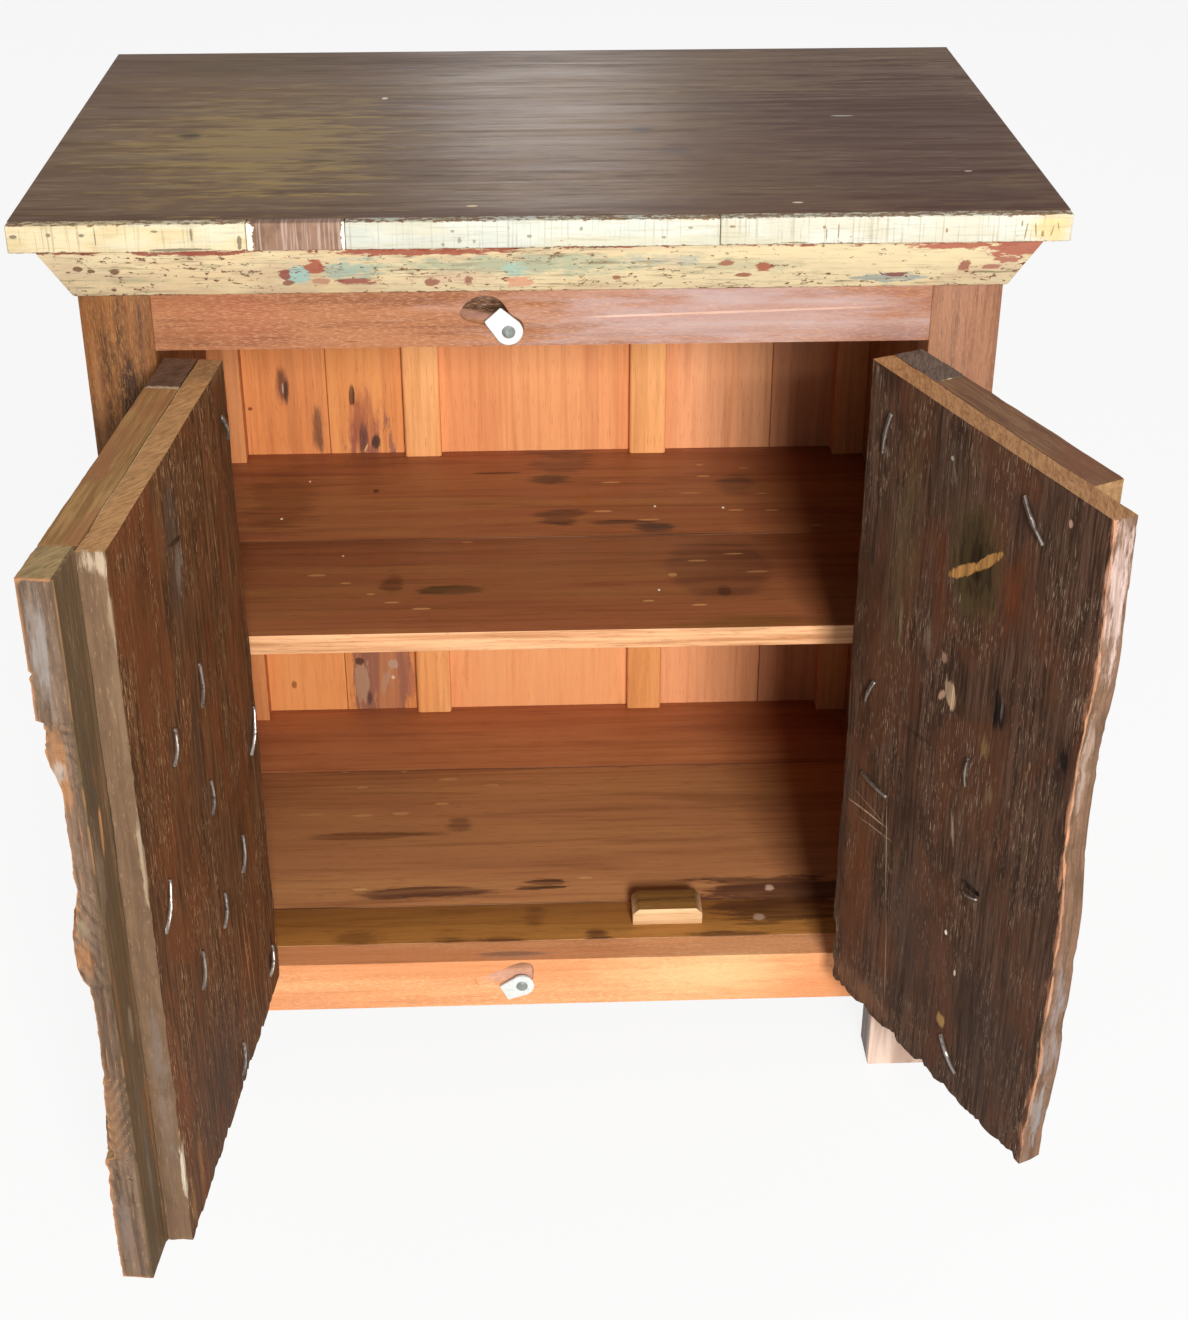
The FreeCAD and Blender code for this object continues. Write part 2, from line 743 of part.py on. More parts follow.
def carcase_pieces():
    """Everything that stands still, but for the top and the cornice."""
    rails, panels, boards = frame_pieces()
    groups = hinge_pieces()
    fitted = group([*rails.values(), *panels.values(), *boards.values(),
                    *groups["hinge_frame_leaves"], *groups["hinge_frame_screws"]])
    legs = {}
    for side, name in ((-1, "left"), (1, "right")):
        legs["leg_front_" + name] = leg(side, True, fitted)
        legs["leg_rear_" + name] = leg(side, False, fitted)
    battens = [batten(share) for share in back_joint_shares[1:3]]
    floor_reach = side_face - side_sill_thickness + floor_ledge
    floor = boards_across(floor_reach, front_rail_thickness, back_face, floor_joint_shares,
                          (floor_underside, floor_level), group(list(legs.values())))
    shelf = boards_across(panel_inside, shelf_setback, back_face, (shelf_joint_share,),
                          (shelf_underside, shelf_level), group([*legs.values(), *battens]))
    screws = [button_screw(top_button_level), button_screw(sill_button_level)]
    scoops = [finger_scoop(top_button_level, top_scoop_shares),
              finger_scoop(sill_button_level, sill_scoop_shares)]
    set_in = group([*panels.values(), *floor, *screws, *scoops])
    rails = {name: rail.cut(set_in) for name, rail in rails.items()}
    pieces = {**legs, **rails, **panels, **boards,
              "back_batten_left": battens[0], "back_batten_right": battens[1],
              "shelf_board_front": shelf[0], "shelf_board_rear": shelf[1],
              "floor_board_front": floor[0], "floor_board_middle": floor[1],
              "floor_board_rear": floor[2], "stop_block": stop_block()}
    groups["shelf_bearers"] = shelf_bearers()
    groups["button_screws"] = screws
    return pieces, groups


def write(name, solids):
    """One file for a node, moved so that the origin is under the carcase's middle."""
    shape = solids[0] if len(solids) == 1 else group(solids)
    if not shape.isValid() or len(shape.Solids) < len(solids):
        raise ValueError("the shape of " + name + " is not sound")
    placed = shape.translated(Vector(0, -carcase_depth / 2, 0))
    placed.exportStep(os.path.join("parts", name + ".step"))


def main():
    """Builds and writes every node."""
    os.makedirs("parts", exist_ok=True)
    pieces, groups = carcase_pieces()
    nodes = {name: [shape] for name, shape in {**pieces, **top_pieces(), **cornice_pieces()}.items()}
    nodes.update(groups)
    nodes["turn_button_top"] = [turn_button(top_button_level, top_button_angle)]
    nodes["turn_button_sill"] = [turn_button(sill_button_level, sill_button_angle)]
    for name, solids in left_door().items():
        nodes["left_door_" + name] = at_rest(-1, left_rest_angle, solids)
    for name, solids in right_door().items():
        nodes["right_door_" + name] = at_rest(1, right_rest_angle, solids)
    for name, solids in nodes.items():
        write(name, solids)
    print(len(nodes), "nodes,", "doors closed from", door_foot, "to", door_head)


main()
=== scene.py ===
"""Two-door cabinet in reclaimed hardwood: its looks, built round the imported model."""

import logging
import math
from dataclasses import dataclass, field, replace
from enum import Enum
from functools import partial
from typing import Callable, Sequence

import bpy
from mathutils import Matrix, Vector, noise


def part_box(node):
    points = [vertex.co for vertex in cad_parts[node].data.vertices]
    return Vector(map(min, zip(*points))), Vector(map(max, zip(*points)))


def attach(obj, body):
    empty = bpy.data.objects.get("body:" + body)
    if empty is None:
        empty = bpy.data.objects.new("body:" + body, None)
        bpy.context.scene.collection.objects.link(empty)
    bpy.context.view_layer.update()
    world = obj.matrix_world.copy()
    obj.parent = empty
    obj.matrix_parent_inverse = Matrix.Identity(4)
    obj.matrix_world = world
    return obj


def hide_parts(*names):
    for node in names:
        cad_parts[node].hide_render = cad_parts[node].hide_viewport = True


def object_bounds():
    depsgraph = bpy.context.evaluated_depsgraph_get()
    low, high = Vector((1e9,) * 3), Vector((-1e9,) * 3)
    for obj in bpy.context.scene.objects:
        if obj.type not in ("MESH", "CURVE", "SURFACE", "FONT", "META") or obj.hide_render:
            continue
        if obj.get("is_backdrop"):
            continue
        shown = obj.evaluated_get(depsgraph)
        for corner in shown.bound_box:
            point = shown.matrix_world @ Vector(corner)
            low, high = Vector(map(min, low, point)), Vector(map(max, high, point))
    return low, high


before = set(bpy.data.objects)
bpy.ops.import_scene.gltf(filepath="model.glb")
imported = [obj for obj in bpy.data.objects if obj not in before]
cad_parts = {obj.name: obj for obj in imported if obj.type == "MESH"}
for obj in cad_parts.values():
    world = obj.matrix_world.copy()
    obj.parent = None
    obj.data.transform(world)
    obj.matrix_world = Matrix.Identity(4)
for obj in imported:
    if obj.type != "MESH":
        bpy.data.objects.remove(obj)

log = logging.getLogger("cabinet")
cad_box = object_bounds()

MM = 0.001
STREAKY_SIZE = 12 * MM
RING_TONE = "150d08"
MERGED = 0.02 * MM
TOUCHING = 0.01 * MM
MOST_CUTS = 60
FLAT_ANGLE = math.radians(1.0)
Piece = bpy.types.Object
Socket = bpy.types.NodeSocket
Triple = tuple[float, float, float]


def tone(code: str) -> tuple[float, float, float, float]:
    """Linear colour of a six-digit screen colour.

    Args:
        code: Red, green and blue in hexadecimal.

    Returns:
        The colour with full opacity.
    """
    parts = [int(code[start:start + 2], 16) / 255 for start in (0, 2, 4)]
    linear = [part / 12.92 if part <= 0.04045 else ((part + 0.055) / 1.055) ** 2.4 for part in parts]
    return (*linear, 1.0)


class Grain(Enum):
    """Direction in which the fibres of a board run."""

    ACROSS = (0, 1, 2)
    DEEP = (1, 0, 2)
    UPRIGHT = (2, 0, 1)


class Slot(Enum):
    """Material slots for the kinds of finish."""

    FRAME = "frame_wood"
    ORANGE = "orange_wood"
    SHELF = "shelf_wood"
    TOP = "dark_top"
    PAINTED = "painted_wood"
    WEATHERED = "weathered_wood"
    CARVED = "carved_wood"
    IRON = "iron"
    BUTTON = "button_metal"


class Side(Enum):
    """Side of the cabinet that a door hangs on."""

    LEFT = -1
    RIGHT = 1


@dataclass(frozen=True)
class Mark:
    """A knot, stain, scar or chip at one place of a surface.

    The place and radii are in metres where the piece stands when closed, turn is in degrees, and
    depth is how far it sinks, in millimetres. Edge is the share of it that fades out, ragged is how
    uneven its outline is, and rings is how closely dark rings follow each other.
    """

    centre: Triple
    radii: Triple
    colour: str
    strength: float = 0.8
    edge: float = 0.5
    ragged: float = 0.35
    turn: float = 0.0
    depth: float = 0.0
    rings: float = 0.0


class Bench:
    """Lays out the nodes of one finish on one piece."""

    def __init__(self, name: str, swing: Matrix | None = None) -> None:
        """Starts an empty material.

        Args:
            name: Name of the material.
            swing: Turn that brings the piece from its closed place to where it rests.
        """
        self.material = bpy.data.materials.new(name)
        self.material.use_nodes = True
        self.tree = self.material.node_tree
        self.tree.nodes.clear()
        self.shader = self.node("ShaderNodeBsdfPrincipled")
        output = self.node("ShaderNodeOutputMaterial")
        self.tree.links.new(self.shader.outputs[0], output.inputs["Surface"])
        place = self.node("ShaderNodeTexCoord")
        self.place = place.outputs["Object"]
        self.facing = place.outputs["Normal"]
        if swing is not None:
            back = swing.inverted()
            turn = back.to_euler()
            self.place = self.mapped(self.place, back.to_translation(), tuple(turn))
            self.facing = self.mapped(self.facing, (0, 0, 0), tuple(turn))

    def node(self, kind: str, **settings: object) -> bpy.types.Node:
        """Adds a node and sets its plain settings."""
        made = self.tree.nodes.new(kind)
        for key, value in settings.items():
            setattr(made, key, value)
        return made

    def feed(self, socket: Socket, value: object) -> None:
        """Links a socket to another, or sets its own value."""
        if isinstance(value, Socket):
            self.tree.links.new(value, socket)
        else:
            socket.default_value = value

    def math(self, operation: str, first: object, second: object = 0.0) -> Socket:
        """One sum on numbers."""
        made = self.node("ShaderNodeMath", operation=operation)
        self.feed(made.inputs[0], first)
        self.feed(made.inputs[1], second)
        return made.outputs[0]

    def mapped(self, vector: Socket, move: Sequence[float] = (0, 0, 0), turn: Sequence[float] = (0, 0, 0),
               size: Sequence[float] = (1, 1, 1), kind: str = "POINT") -> Socket:
        """Moves, turns and scales a vector."""
        made = self.node("ShaderNodeMapping", vector_type=kind)
        self.feed(made.inputs["Vector"], vector)
        made.inputs["Location"].default_value = move
        made.inputs["Rotation"].default_value = turn
        made.inputs["Scale"].default_value = size
        return made.outputs[0]

    def fibres(self, grain: Grain, seed: float = 0.0) -> Socket:
        """Place with its first axis along the fibres."""
        parts = self.node("ShaderNodeSeparateXYZ")
        self.feed(parts.inputs[0], self.place)
        joined = self.node("ShaderNodeCombineXYZ")
        for slot, axis in enumerate(grain.value):
            self.feed(joined.inputs[slot], parts.outputs[axis])
        return self.mapped(joined.outputs[0], (seed, seed * 0.7, seed * 1.3))

    def axis(self, number: int, vector: Socket | None = None) -> Socket:
        """One part of the place, or of another vector."""
        parts = self.node("ShaderNodeSeparateXYZ")
        self.feed(parts.inputs[0], self.place if vector is None else vector)
        return parts.outputs[number]

    def noise(self, vector: Socket, stretch: Sequence[float], detail: float = 3.0,
              rough: float = 0.55, warp: float = 0.0) -> Socket:
        """Cloudy value, stretched by a frequency in turns a metre along each axis."""
        made = self.node("ShaderNodeTexNoise")
        self.feed(made.inputs["Vector"], self.mapped(vector, size=stretch))
        made.inputs["Scale"].default_value = 1.0
        made.inputs["Detail"].default_value = detail
        made.inputs["Roughness"].default_value = rough
        made.inputs["Distortion"].default_value = warp
        return made.outputs[0]

    def span(self, value: object, low: float, high: float, start: float = 0.0, end: float = 1.0) -> Socket:
        """Eases from one value to another while the input runs from low to high."""
        made = self.node("ShaderNodeMapRange", interpolation_type="SMOOTHSTEP")
        self.feed(made.inputs["Value"], value)
        for key, number in (("From Min", low), ("From Max", high), ("To Min", start), ("To Max", end)):
            made.inputs[key].default_value = number
        return made.outputs[0]

    def blend(self, share: object, first: object, second: object, mode: str = "MIX") -> Socket:
        """Mixes two colours."""
        made = self.node("ShaderNodeMix", data_type="RGBA", blend_type=mode)
        self.feed(made.inputs[0], share)
        self.feed(made.inputs[6], tone(first) if isinstance(first, str) else first)
        self.feed(made.inputs[7], tone(second) if isinstance(second, str) else second)
        return made.outputs[2]

    def product(self, first: object, second: object) -> Socket:
        """Two values multiplied."""
        return self.math("MULTIPLY", first, second)

    def total(self, first: object, second: object) -> Socket:
        """Two values added."""
        return self.math("ADD", first, second)

    def less(self, first: object, second: object) -> Socket:
        """The first value less the second."""
        return self.math("SUBTRACT", first, second)

    def spot(self, mark: Mark, warp: Socket) -> tuple[Socket, Socket]:
        """How strongly a mark shows.

        Args:
            mark: The mark.
            warp: Value that makes its outline ragged.

        Returns:
            Its strength at each place, and how far out each place is.
        """
        turn = (0, math.radians(mark.turn), 0)
        local = self.mapped(self.place, mark.centre, turn, mark.radii, "TEXTURE")
        reach = self.node("ShaderNodeVectorMath", operation="LENGTH")
        self.feed(reach.inputs[0], local)
        uneven = self.total(reach.outputs["Value"], self.product(warp, mark.ragged * 3.4))
        return self.span(uneven, 1 - mark.edge, 1.02, mark.strength, 0.0), uneven

    def marks(self, colour: Socket, height: Socket, marks: Sequence[Mark], warp: Socket,
              fleck: Socket | None = None) -> tuple[Socket, Socket]:
        """Lays marks over a colour and a height.

        Args:
            colour: Colour below them.
            height: Height below them, in millimetres.
            marks: The marks.
            warp: Value that makes their outlines ragged.
            fleck: Share of their strength that is left, where they are streaky.

        Returns:
            The new colour and height.
        """
        for mark in marks:
            share, reach = self.spot(mark, warp)
            if fleck is not None and max(mark.radii) > STREAKY_SIZE:
                share = self.product(share, fleck)
            stain = mark.colour
            if mark.rings:
                wave = self.math("SINE", self.product(reach, mark.rings))
                stain = self.blend(self.span(wave, -0.4, 0.9, 0.0, 0.6), stain, RING_TONE)
            colour = self.blend(share, colour, stain)
            if mark.depth:
                height = self.less(height, self.product(share, mark.depth))
        return colour, height

    def finish(self, colour: object, roughness: object, height: Socket | None = None,
               strength: float = 0.6, gloss: float = 0.4) -> bpy.types.Material:
        """Ends the material.

        Args:
            colour: Base colour.
            roughness: Roughness of the surface.
            height: Height of the surface in millimetres.
            strength: How strongly the height shows.
            gloss: Specular level.

        Returns:
            The material.
        """
        self.feed(self.shader.inputs["Base Color"], tone(colour) if isinstance(colour, str) else colour)
        self.feed(self.shader.inputs["Roughness"], roughness)
        self.shader.inputs["Specular IOR Level"].default_value = gloss
        if height is not None:
            bump = self.node("ShaderNodeBump")
            bump.inputs["Strength"].default_value = strength
            bump.inputs["Distance"].default_value = MM
            self.feed(bump.inputs["Height"], height)
            self.feed(self.shader.inputs["Normal"], bump.outputs[0])
        return self.material


@dataclass(frozen=True)
class PlankFinish:
    """Planed hardwood with a clear finish."""

    main: str
    dark: str
    light: str
    grain: Grain
    seed: float = 0.0
    streaks: float = 0.5
    bands: float = 0.5
    pores: float = 0.5
    ticks: float = 0.0
    tick_tone: str = "d8a070"
    tick_size: tuple[float, float] = (42, 430)
    tick_limit: float = 0.6
    front: tuple[str, str] | None = None
    upper: tuple[str, str] | None = None
    roughness: float = 0.42
    gloss: float = 0.3
    marks: tuple[Mark, ...] = ()

    def faces(self, bench: Bench, colour: Socket, fine: Socket) -> Socket:
        """Lays other tones on the faces that look forwards or up."""
        for axis, sign, pair in ((1, -1.0, self.front), (2, 1.0, self.upper)):
            if pair:
                share = bench.span(bench.product(bench.axis(axis, bench.facing), sign), 0.55, 0.8)
                other = bench.blend(bench.span(fine, 0.4, 0.68), *pair)
                colour = bench.blend(share, colour, other)
        return colour

    def material(self, name: str) -> bpy.types.Material:
        """Makes the finish for one piece.

        Args:
            name: Name of the piece.

        Returns:
            Its material.
        """
        bench = Bench(name)
        fibres = bench.fibres(self.grain, self.seed)
        broad = bench.noise(fibres, (1.8, 16, 16), 3, 0.5, 0.6)
        fine = bench.noise(fibres, (5, 170, 170), 4, 0.6, 0.3)
        figure = bench.noise(fibres, (2.4, 48, 48), 4, 0.6, 1.2)
        colour = bench.blend(bench.span(broad, 0.38, 0.66, 0.0, self.bands), self.main, self.light)
        colour = bench.blend(bench.span(figure, 0.46, 0.74, 0.0, self.streaks), colour, self.dark)
        colour = bench.blend(bench.span(fine, 0.46, 0.76, 0.0, self.streaks), colour, self.dark)
        colour = self.faces(bench, colour, fine)
        dash = bench.noise(fibres, (45, 900, 900), 2, 0.5)
        pore = bench.span(dash, 0.6, 0.7, 0.0, self.pores)
        colour = bench.blend(pore, colour, self.dark)
        height = bench.total(bench.product(fine, 0.25), bench.product(pore, -0.25))
        warp = bench.product(bench.less(bench.noise(fibres, (14, 90, 90), 5, 0.7), 0.5), 1.5)
        fleck = bench.span(figure, 0.36, 0.6, 0.55, 1.0)
        colour, height = bench.marks(colour, height, self.marks, warp, fleck)
        if self.ticks:
            along, across = self.tick_size
            tick = bench.noise(bench.mapped(fibres, (3, 1, 2)), (along, across, across), 1, 0.5)
            share = bench.product(bench.span(tick, self.tick_limit, self.tick_limit + 0.06),
                                  bench.span(broad, 0.36, 0.6, self.ticks * 0.25, self.ticks))
            colour = bench.blend(share, colour, self.tick_tone)
        rough = bench.span(figure, 0.3, 0.7, self.roughness - 0.06, self.roughness + 0.08)
        return bench.finish(colour, rough, height, 0.35, self.gloss)


@dataclass(frozen=True)
class PaintFinish:
    """Old brittle paint in several layers over bare wood, chipped at its edges."""

    coat: str
    second: str
    bare: str
    grey: str
    low: float
    high: float
    chips: float = 0.5
    streaks: float = 0.5
    lines: float = 0.3
    # Width share and tone of the red-brown strip along the top edge, partly bare wood and partly painted
    # shade.
    shade_and_bare_band: float = 0.0
    shade_and_bare_tone: str = "96503c"
    tint: str = "f6f4e6"
    tint_share: float = 0.5
    seed: float = 0.0
    marks: tuple[Mark, ...] = ()
    top: tuple[Mark, ...] = ()

    def material(self, name: str) -> bpy.types.Material:
        """Makes the finish for one piece.

        Args:
            name: Name of the piece.

        Returns:
            Its material.
        """
        bench = Bench(name)
        fibres = bench.fibres(Grain.ACROSS, self.seed)
        cloud = bench.noise(fibres, (16, 40, 40), 4, 0.6, 0.4)
        tint = bench.noise(fibres, (7, 26, 26), 3, 0.6, 0.5)
        coat = bench.blend(bench.span(cloud, 0.42, 0.6), self.coat, self.second)
        coat = bench.blend(bench.span(tint, 0.44, 0.58, 0.0, self.tint_share), coat, self.tint)
        warp = bench.less(bench.noise(fibres, (60, 200, 200), 4, 0.7), 0.5)
        height = bench.product(cloud, 0.3)
        coat, height = bench.marks(coat, height, self.marks, warp)
        dirt = bench.noise(fibres, (26, 420, 420), 4, 0.7)
        patch = bench.noise(bench.mapped(fibres, (5, 3, 1)), (9, 30, 30), 3, 0.6)
        patchy = bench.span(patch, 0.4, 0.6, 0.25, self.streaks)
        streak = bench.product(bench.span(dirt, 0.5, 0.66), patchy)
        coat = bench.blend(streak, coat, self.grey)
        hair = bench.noise(fibres, (520, 14, 14), 3, 0.6)
        faint = bench.span(tint, 0.4, 0.6, self.lines, self.lines * 0.3)
        line = bench.product(bench.span(hair, 0.54, 0.66), faint)
        coat = bench.blend(line, coat, self.grey)
        grain = bench.noise(fibres, (110, 110, 110), 3, 0.7)
        speck = bench.noise(bench.mapped(fibres, (9, 4, 6)), (130, 260, 260), 3, 0.75)
        chip = bench.span(bench.total(speck, bench.product(patch, 0.25)), 0.86 - self.chips * 0.12,
                          0.88 - self.chips * 0.12)
        upward = bench.axis(2)
        reach = bench.math("MINIMUM", bench.less(upward, self.low),
                           bench.less(self.high, upward))
        uneven = bench.total(bench.product(speck, 0.0075), bench.product(cloud, 0.004))
        rim = bench.span(bench.less(reach, bench.less(uneven, 0.0058)), 0.0, 0.0006, 1.0, 0.0)
        gone = bench.math("MAXIMUM", chip, rim)
        wood = bench.blend(bench.span(grain, 0.4, 0.7), self.bare, self.grey)
        colour = bench.blend(gone, coat, wood)
        # Red-brown strip along the top edge: bare wood where the paint is gone, and painted shade under
        # the lipping's overhang.
        if self.shade_and_bare_band:
            jag = bench.noise(bench.mapped(fibres, (2, 8, 3)), (34, 90, 90), 4, 0.7, 0.4)
            edge = bench.less(bench.less(self.high, upward),
                              bench.product(bench.less(jag, 0.32), self.shade_and_bare_band * 5))
            strip = bench.span(edge, 0.0, 0.0008, 0.92, 0.0)
            red = bench.blend(bench.span(speck, 0.4, 0.7), self.shade_and_bare_tone, "6a3228")
            colour = bench.blend(strip, colour, red)
            gone = bench.math("MAXIMUM", gone, strip)
        height = bench.less(height, bench.product(gone, 0.6))
        height = bench.less(height, bench.product(line, 0.25))
        colour, height = bench.marks(colour, height, self.top, warp)
        return bench.finish(colour, bench.span(gone, 0, 1, 0.55, 0.7), height, 0.7, 0.15)


@dataclass(frozen=True)
class BareFinish:
    """Old bare wood with fine pale lines across it."""

    main: str
    pale: str
    deep: str
    seed: float = 0.0
    marks: tuple[Mark, ...] = ()

    def material(self, name: str) -> bpy.types.Material:
        """Makes the finish for one piece.

        Args:
            name: Name of the piece.

        Returns:
            Its material.
        """
        bench = Bench(name)
        fibres = bench.fibres(Grain.ACROSS, self.seed)
        line = bench.noise(fibres, (520, 16, 16), 3, 0.6)
        wide = bench.noise(fibres, (60, 30, 30), 3, 0.6)
        colour = bench.blend(bench.span(wide, 0.4, 0.62), self.main, self.deep)
        colour = bench.blend(bench.span(line, 0.48, 0.66, 0.0, 0.75), colour, self.pale)
        warp = bench.less(bench.noise(fibres, (90, 200, 200), 4, 0.7), 0.5)
        colour, height = bench.marks(colour, bench.product(line, 0.5), self.marks, warp)
        return bench.finish(colour, 0.65, height, 0.6, 0.1)


@dataclass(frozen=True)
class OldWood:
    """Old rough hardwood, fibrous on its faces, with its own tones on its edges and sawn ends."""

    dark: str
    light: str
    red: str
    fibre: str
    swing: Matrix
    grain: Grain = Grain.UPRIGHT
    edge_tones: tuple[str, str] = ("6b6050", "4a4036")
    end_tones: tuple[str, str] = ("b08a58", "7a5430")
    ends: float = 1.0
    edges: float = 1.0
    lift: float = 0.75
    rough: float = 1.0
    seed: float = 0.0
    # Colour of the carving's ridges, found by pointiness: wear with a painted highlight on it. The hollows
    # get a dark painted shade.
    worn: str = ""
    marks: tuple[Mark, ...] = ()

    def face(self, bench: Bench, fibres: Socket) -> tuple[Socket, Socket]:
        """Colour and height of the broad faces."""
        broad = bench.noise(fibres, (6, 13, 13), 4, 0.6, 1.0)
        streak = bench.noise(fibres, (12, 230, 230), 4, 0.6, 0.8)
        fine = bench.noise(fibres, (22, 640, 640), 3, 0.65, 0.3)
        cloud = bench.noise(bench.mapped(fibres, (4, 9, 2)), (8, 17, 17), 3, 0.6, 0.6)
        colour = bench.blend(bench.span(streak, 0.34, 0.7, 0.05, 0.9), self.dark, self.light)
        colour = bench.blend(bench.span(broad, 0.48, 0.62, 0.0, 0.7), colour, self.red)
        colour = bench.blend(bench.span(cloud, 0.5, 0.68, 0.0, 0.55), colour, self.dark)
        colour = bench.blend(bench.span(fine, 0.5, 0.72, 0.0, 0.5), colour, self.dark)
        # Short pale dashes on raised fibres: the fibres are raised in the height and somewhat pale, and
        # part of their paleness is a painted highlight of grazing light.
        dash = bench.noise(fibres, (80, 900, 900), 3, 0.6, 0.3)
        patch = bench.noise(fibres, (9, 26, 26), 3, 0.6)
        lifted = bench.product(bench.span(dash, 0.57, 0.66), bench.span(patch, 0.42, 0.6, 0.1, 1.0))
        colour = bench.blend(bench.product(lifted, self.lift), colour, self.fibre)
        height = bench.total(bench.product(streak, 0.5), bench.product(fine, 0.45))
        height = bench.total(height, bench.product(lifted, 0.35))
        return colour, bench.total(height, bench.product(broad, 0.4))

    def material(self, name: str) -> bpy.types.Material:
        """Makes the finish for one piece.

        Args:
            name: Name of the piece.

        Returns:
            Its material.
        """
        bench = Bench(name, self.swing)
        fibres = bench.fibres(self.grain, self.seed)
        colour, height = self.face(bench, fibres)
        warp = bench.less(bench.noise(fibres, (26, 170, 170), 4, 0.7), 0.5)
        grain = bench.noise(fibres, (9, 190, 190), 3, 0.6, 0.4)
        mottle = bench.noise(bench.place, (45, 45, 45), 4, 0.65)
        side = bench.math("ABSOLUTE", bench.axis(0, bench.facing))
        turned = bench.span(bench.total(side, bench.product(warp, 0.5)), 0.5, 0.85, 0.0, self.edges)
        edge = bench.blend(bench.span(grain, 0.3, 0.72, 0.15, 0.85), *self.edge_tones)
        edge = bench.blend(bench.span(mottle, 0.45, 0.7, 0.0, 0.5), edge, self.edge_tones[1])
        flake = bench.noise(fibres, (90, 700, 700), 3, 0.7)
        edge = bench.blend(bench.span(flake, 0.58, 0.68, 0.0, 0.22), edge, self.fibre)
        colour = bench.blend(turned, colour, edge)
        slanted = bench.mapped(bench.place, turn=(0, 0, math.radians(35)))
        rings = bench.noise(slanted, (60, 420, 60), 4, 0.6, 1.2)
        end = bench.blend(bench.span(rings, 0.38, 0.68), *self.end_tones)
        end = bench.blend(bench.span(mottle, 0.5, 0.72, 0.0, 0.5), end, self.end_tones[1])
        upper = bench.span(bench.math("ABSOLUTE", bench.axis(2, bench.facing)), 0.6, 0.85, 0.0, self.ends)
        colour = bench.blend(upper, colour, end)
        # Pointiness: the carving's hollows get a dark painted shade, and its ridges a pale tone that is
        # wear and painted highlight.
        if self.worn:
            shape = bench.node("ShaderNodeNewGeometry").outputs["Pointiness"]
            hollow = bench.span(bench.total(shape, bench.product(warp, 0.02)), 0.44, 0.495, 0.75, 0.0)
            colour = bench.blend(hollow, colour, "2e221a")
            ridge = bench.span(bench.total(shape, bench.product(warp, 0.06)), 0.515, 0.56, 0.0, 0.8)
            colour = bench.blend(ridge, colour, self.worn)
        fleck = bench.span(grain, 0.36, 0.62, 0.5, 1.0)
        colour, height = bench.marks(colour, height, self.marks, warp, fleck)
        calm = bench.less(1.0, bench.product(bench.math("MAXIMUM", upper, turned), 0.7))
        height = bench.product(bench.product(height, calm), self.rough)
        return bench.finish(colour, 0.7, height, 0.8, 0.08)


@dataclass(frozen=True)
class MetalFinish:
    """Iron or enamelled metal with rubbed places."""

    colour: str
    worn: str
    metallic: float
    roughness: float
    rub: float = 0.5

    def material(self, name: str) -> bpy.types.Material:
        """Makes the finish for one piece.

        Args:
            name: Name of the piece.

        Returns:
            Its material.
        """
        bench = Bench(name)
        fleck = bench.noise(bench.place, (260, 260, 260), 4, 0.65)
        colour = bench.blend(bench.span(fleck, 0.5, 0.66, 0.0, self.rub), self.colour, self.worn)
        bench.shader.inputs["Metallic"].default_value = self.metallic
        rough = bench.span(fleck, 0.3, 0.7, self.roughness - 0.08, self.roughness + 0.12)
        return bench.finish(colour, rough, bench.product(fleck, 0.4), 0.5, 0.5)


def dress(piece: Piece, finish: object, slot: Slot) -> None:
    """Gives a piece its finish."""
    piece.data.materials.clear()
    piece.data.materials.append(finish.material(piece.name))


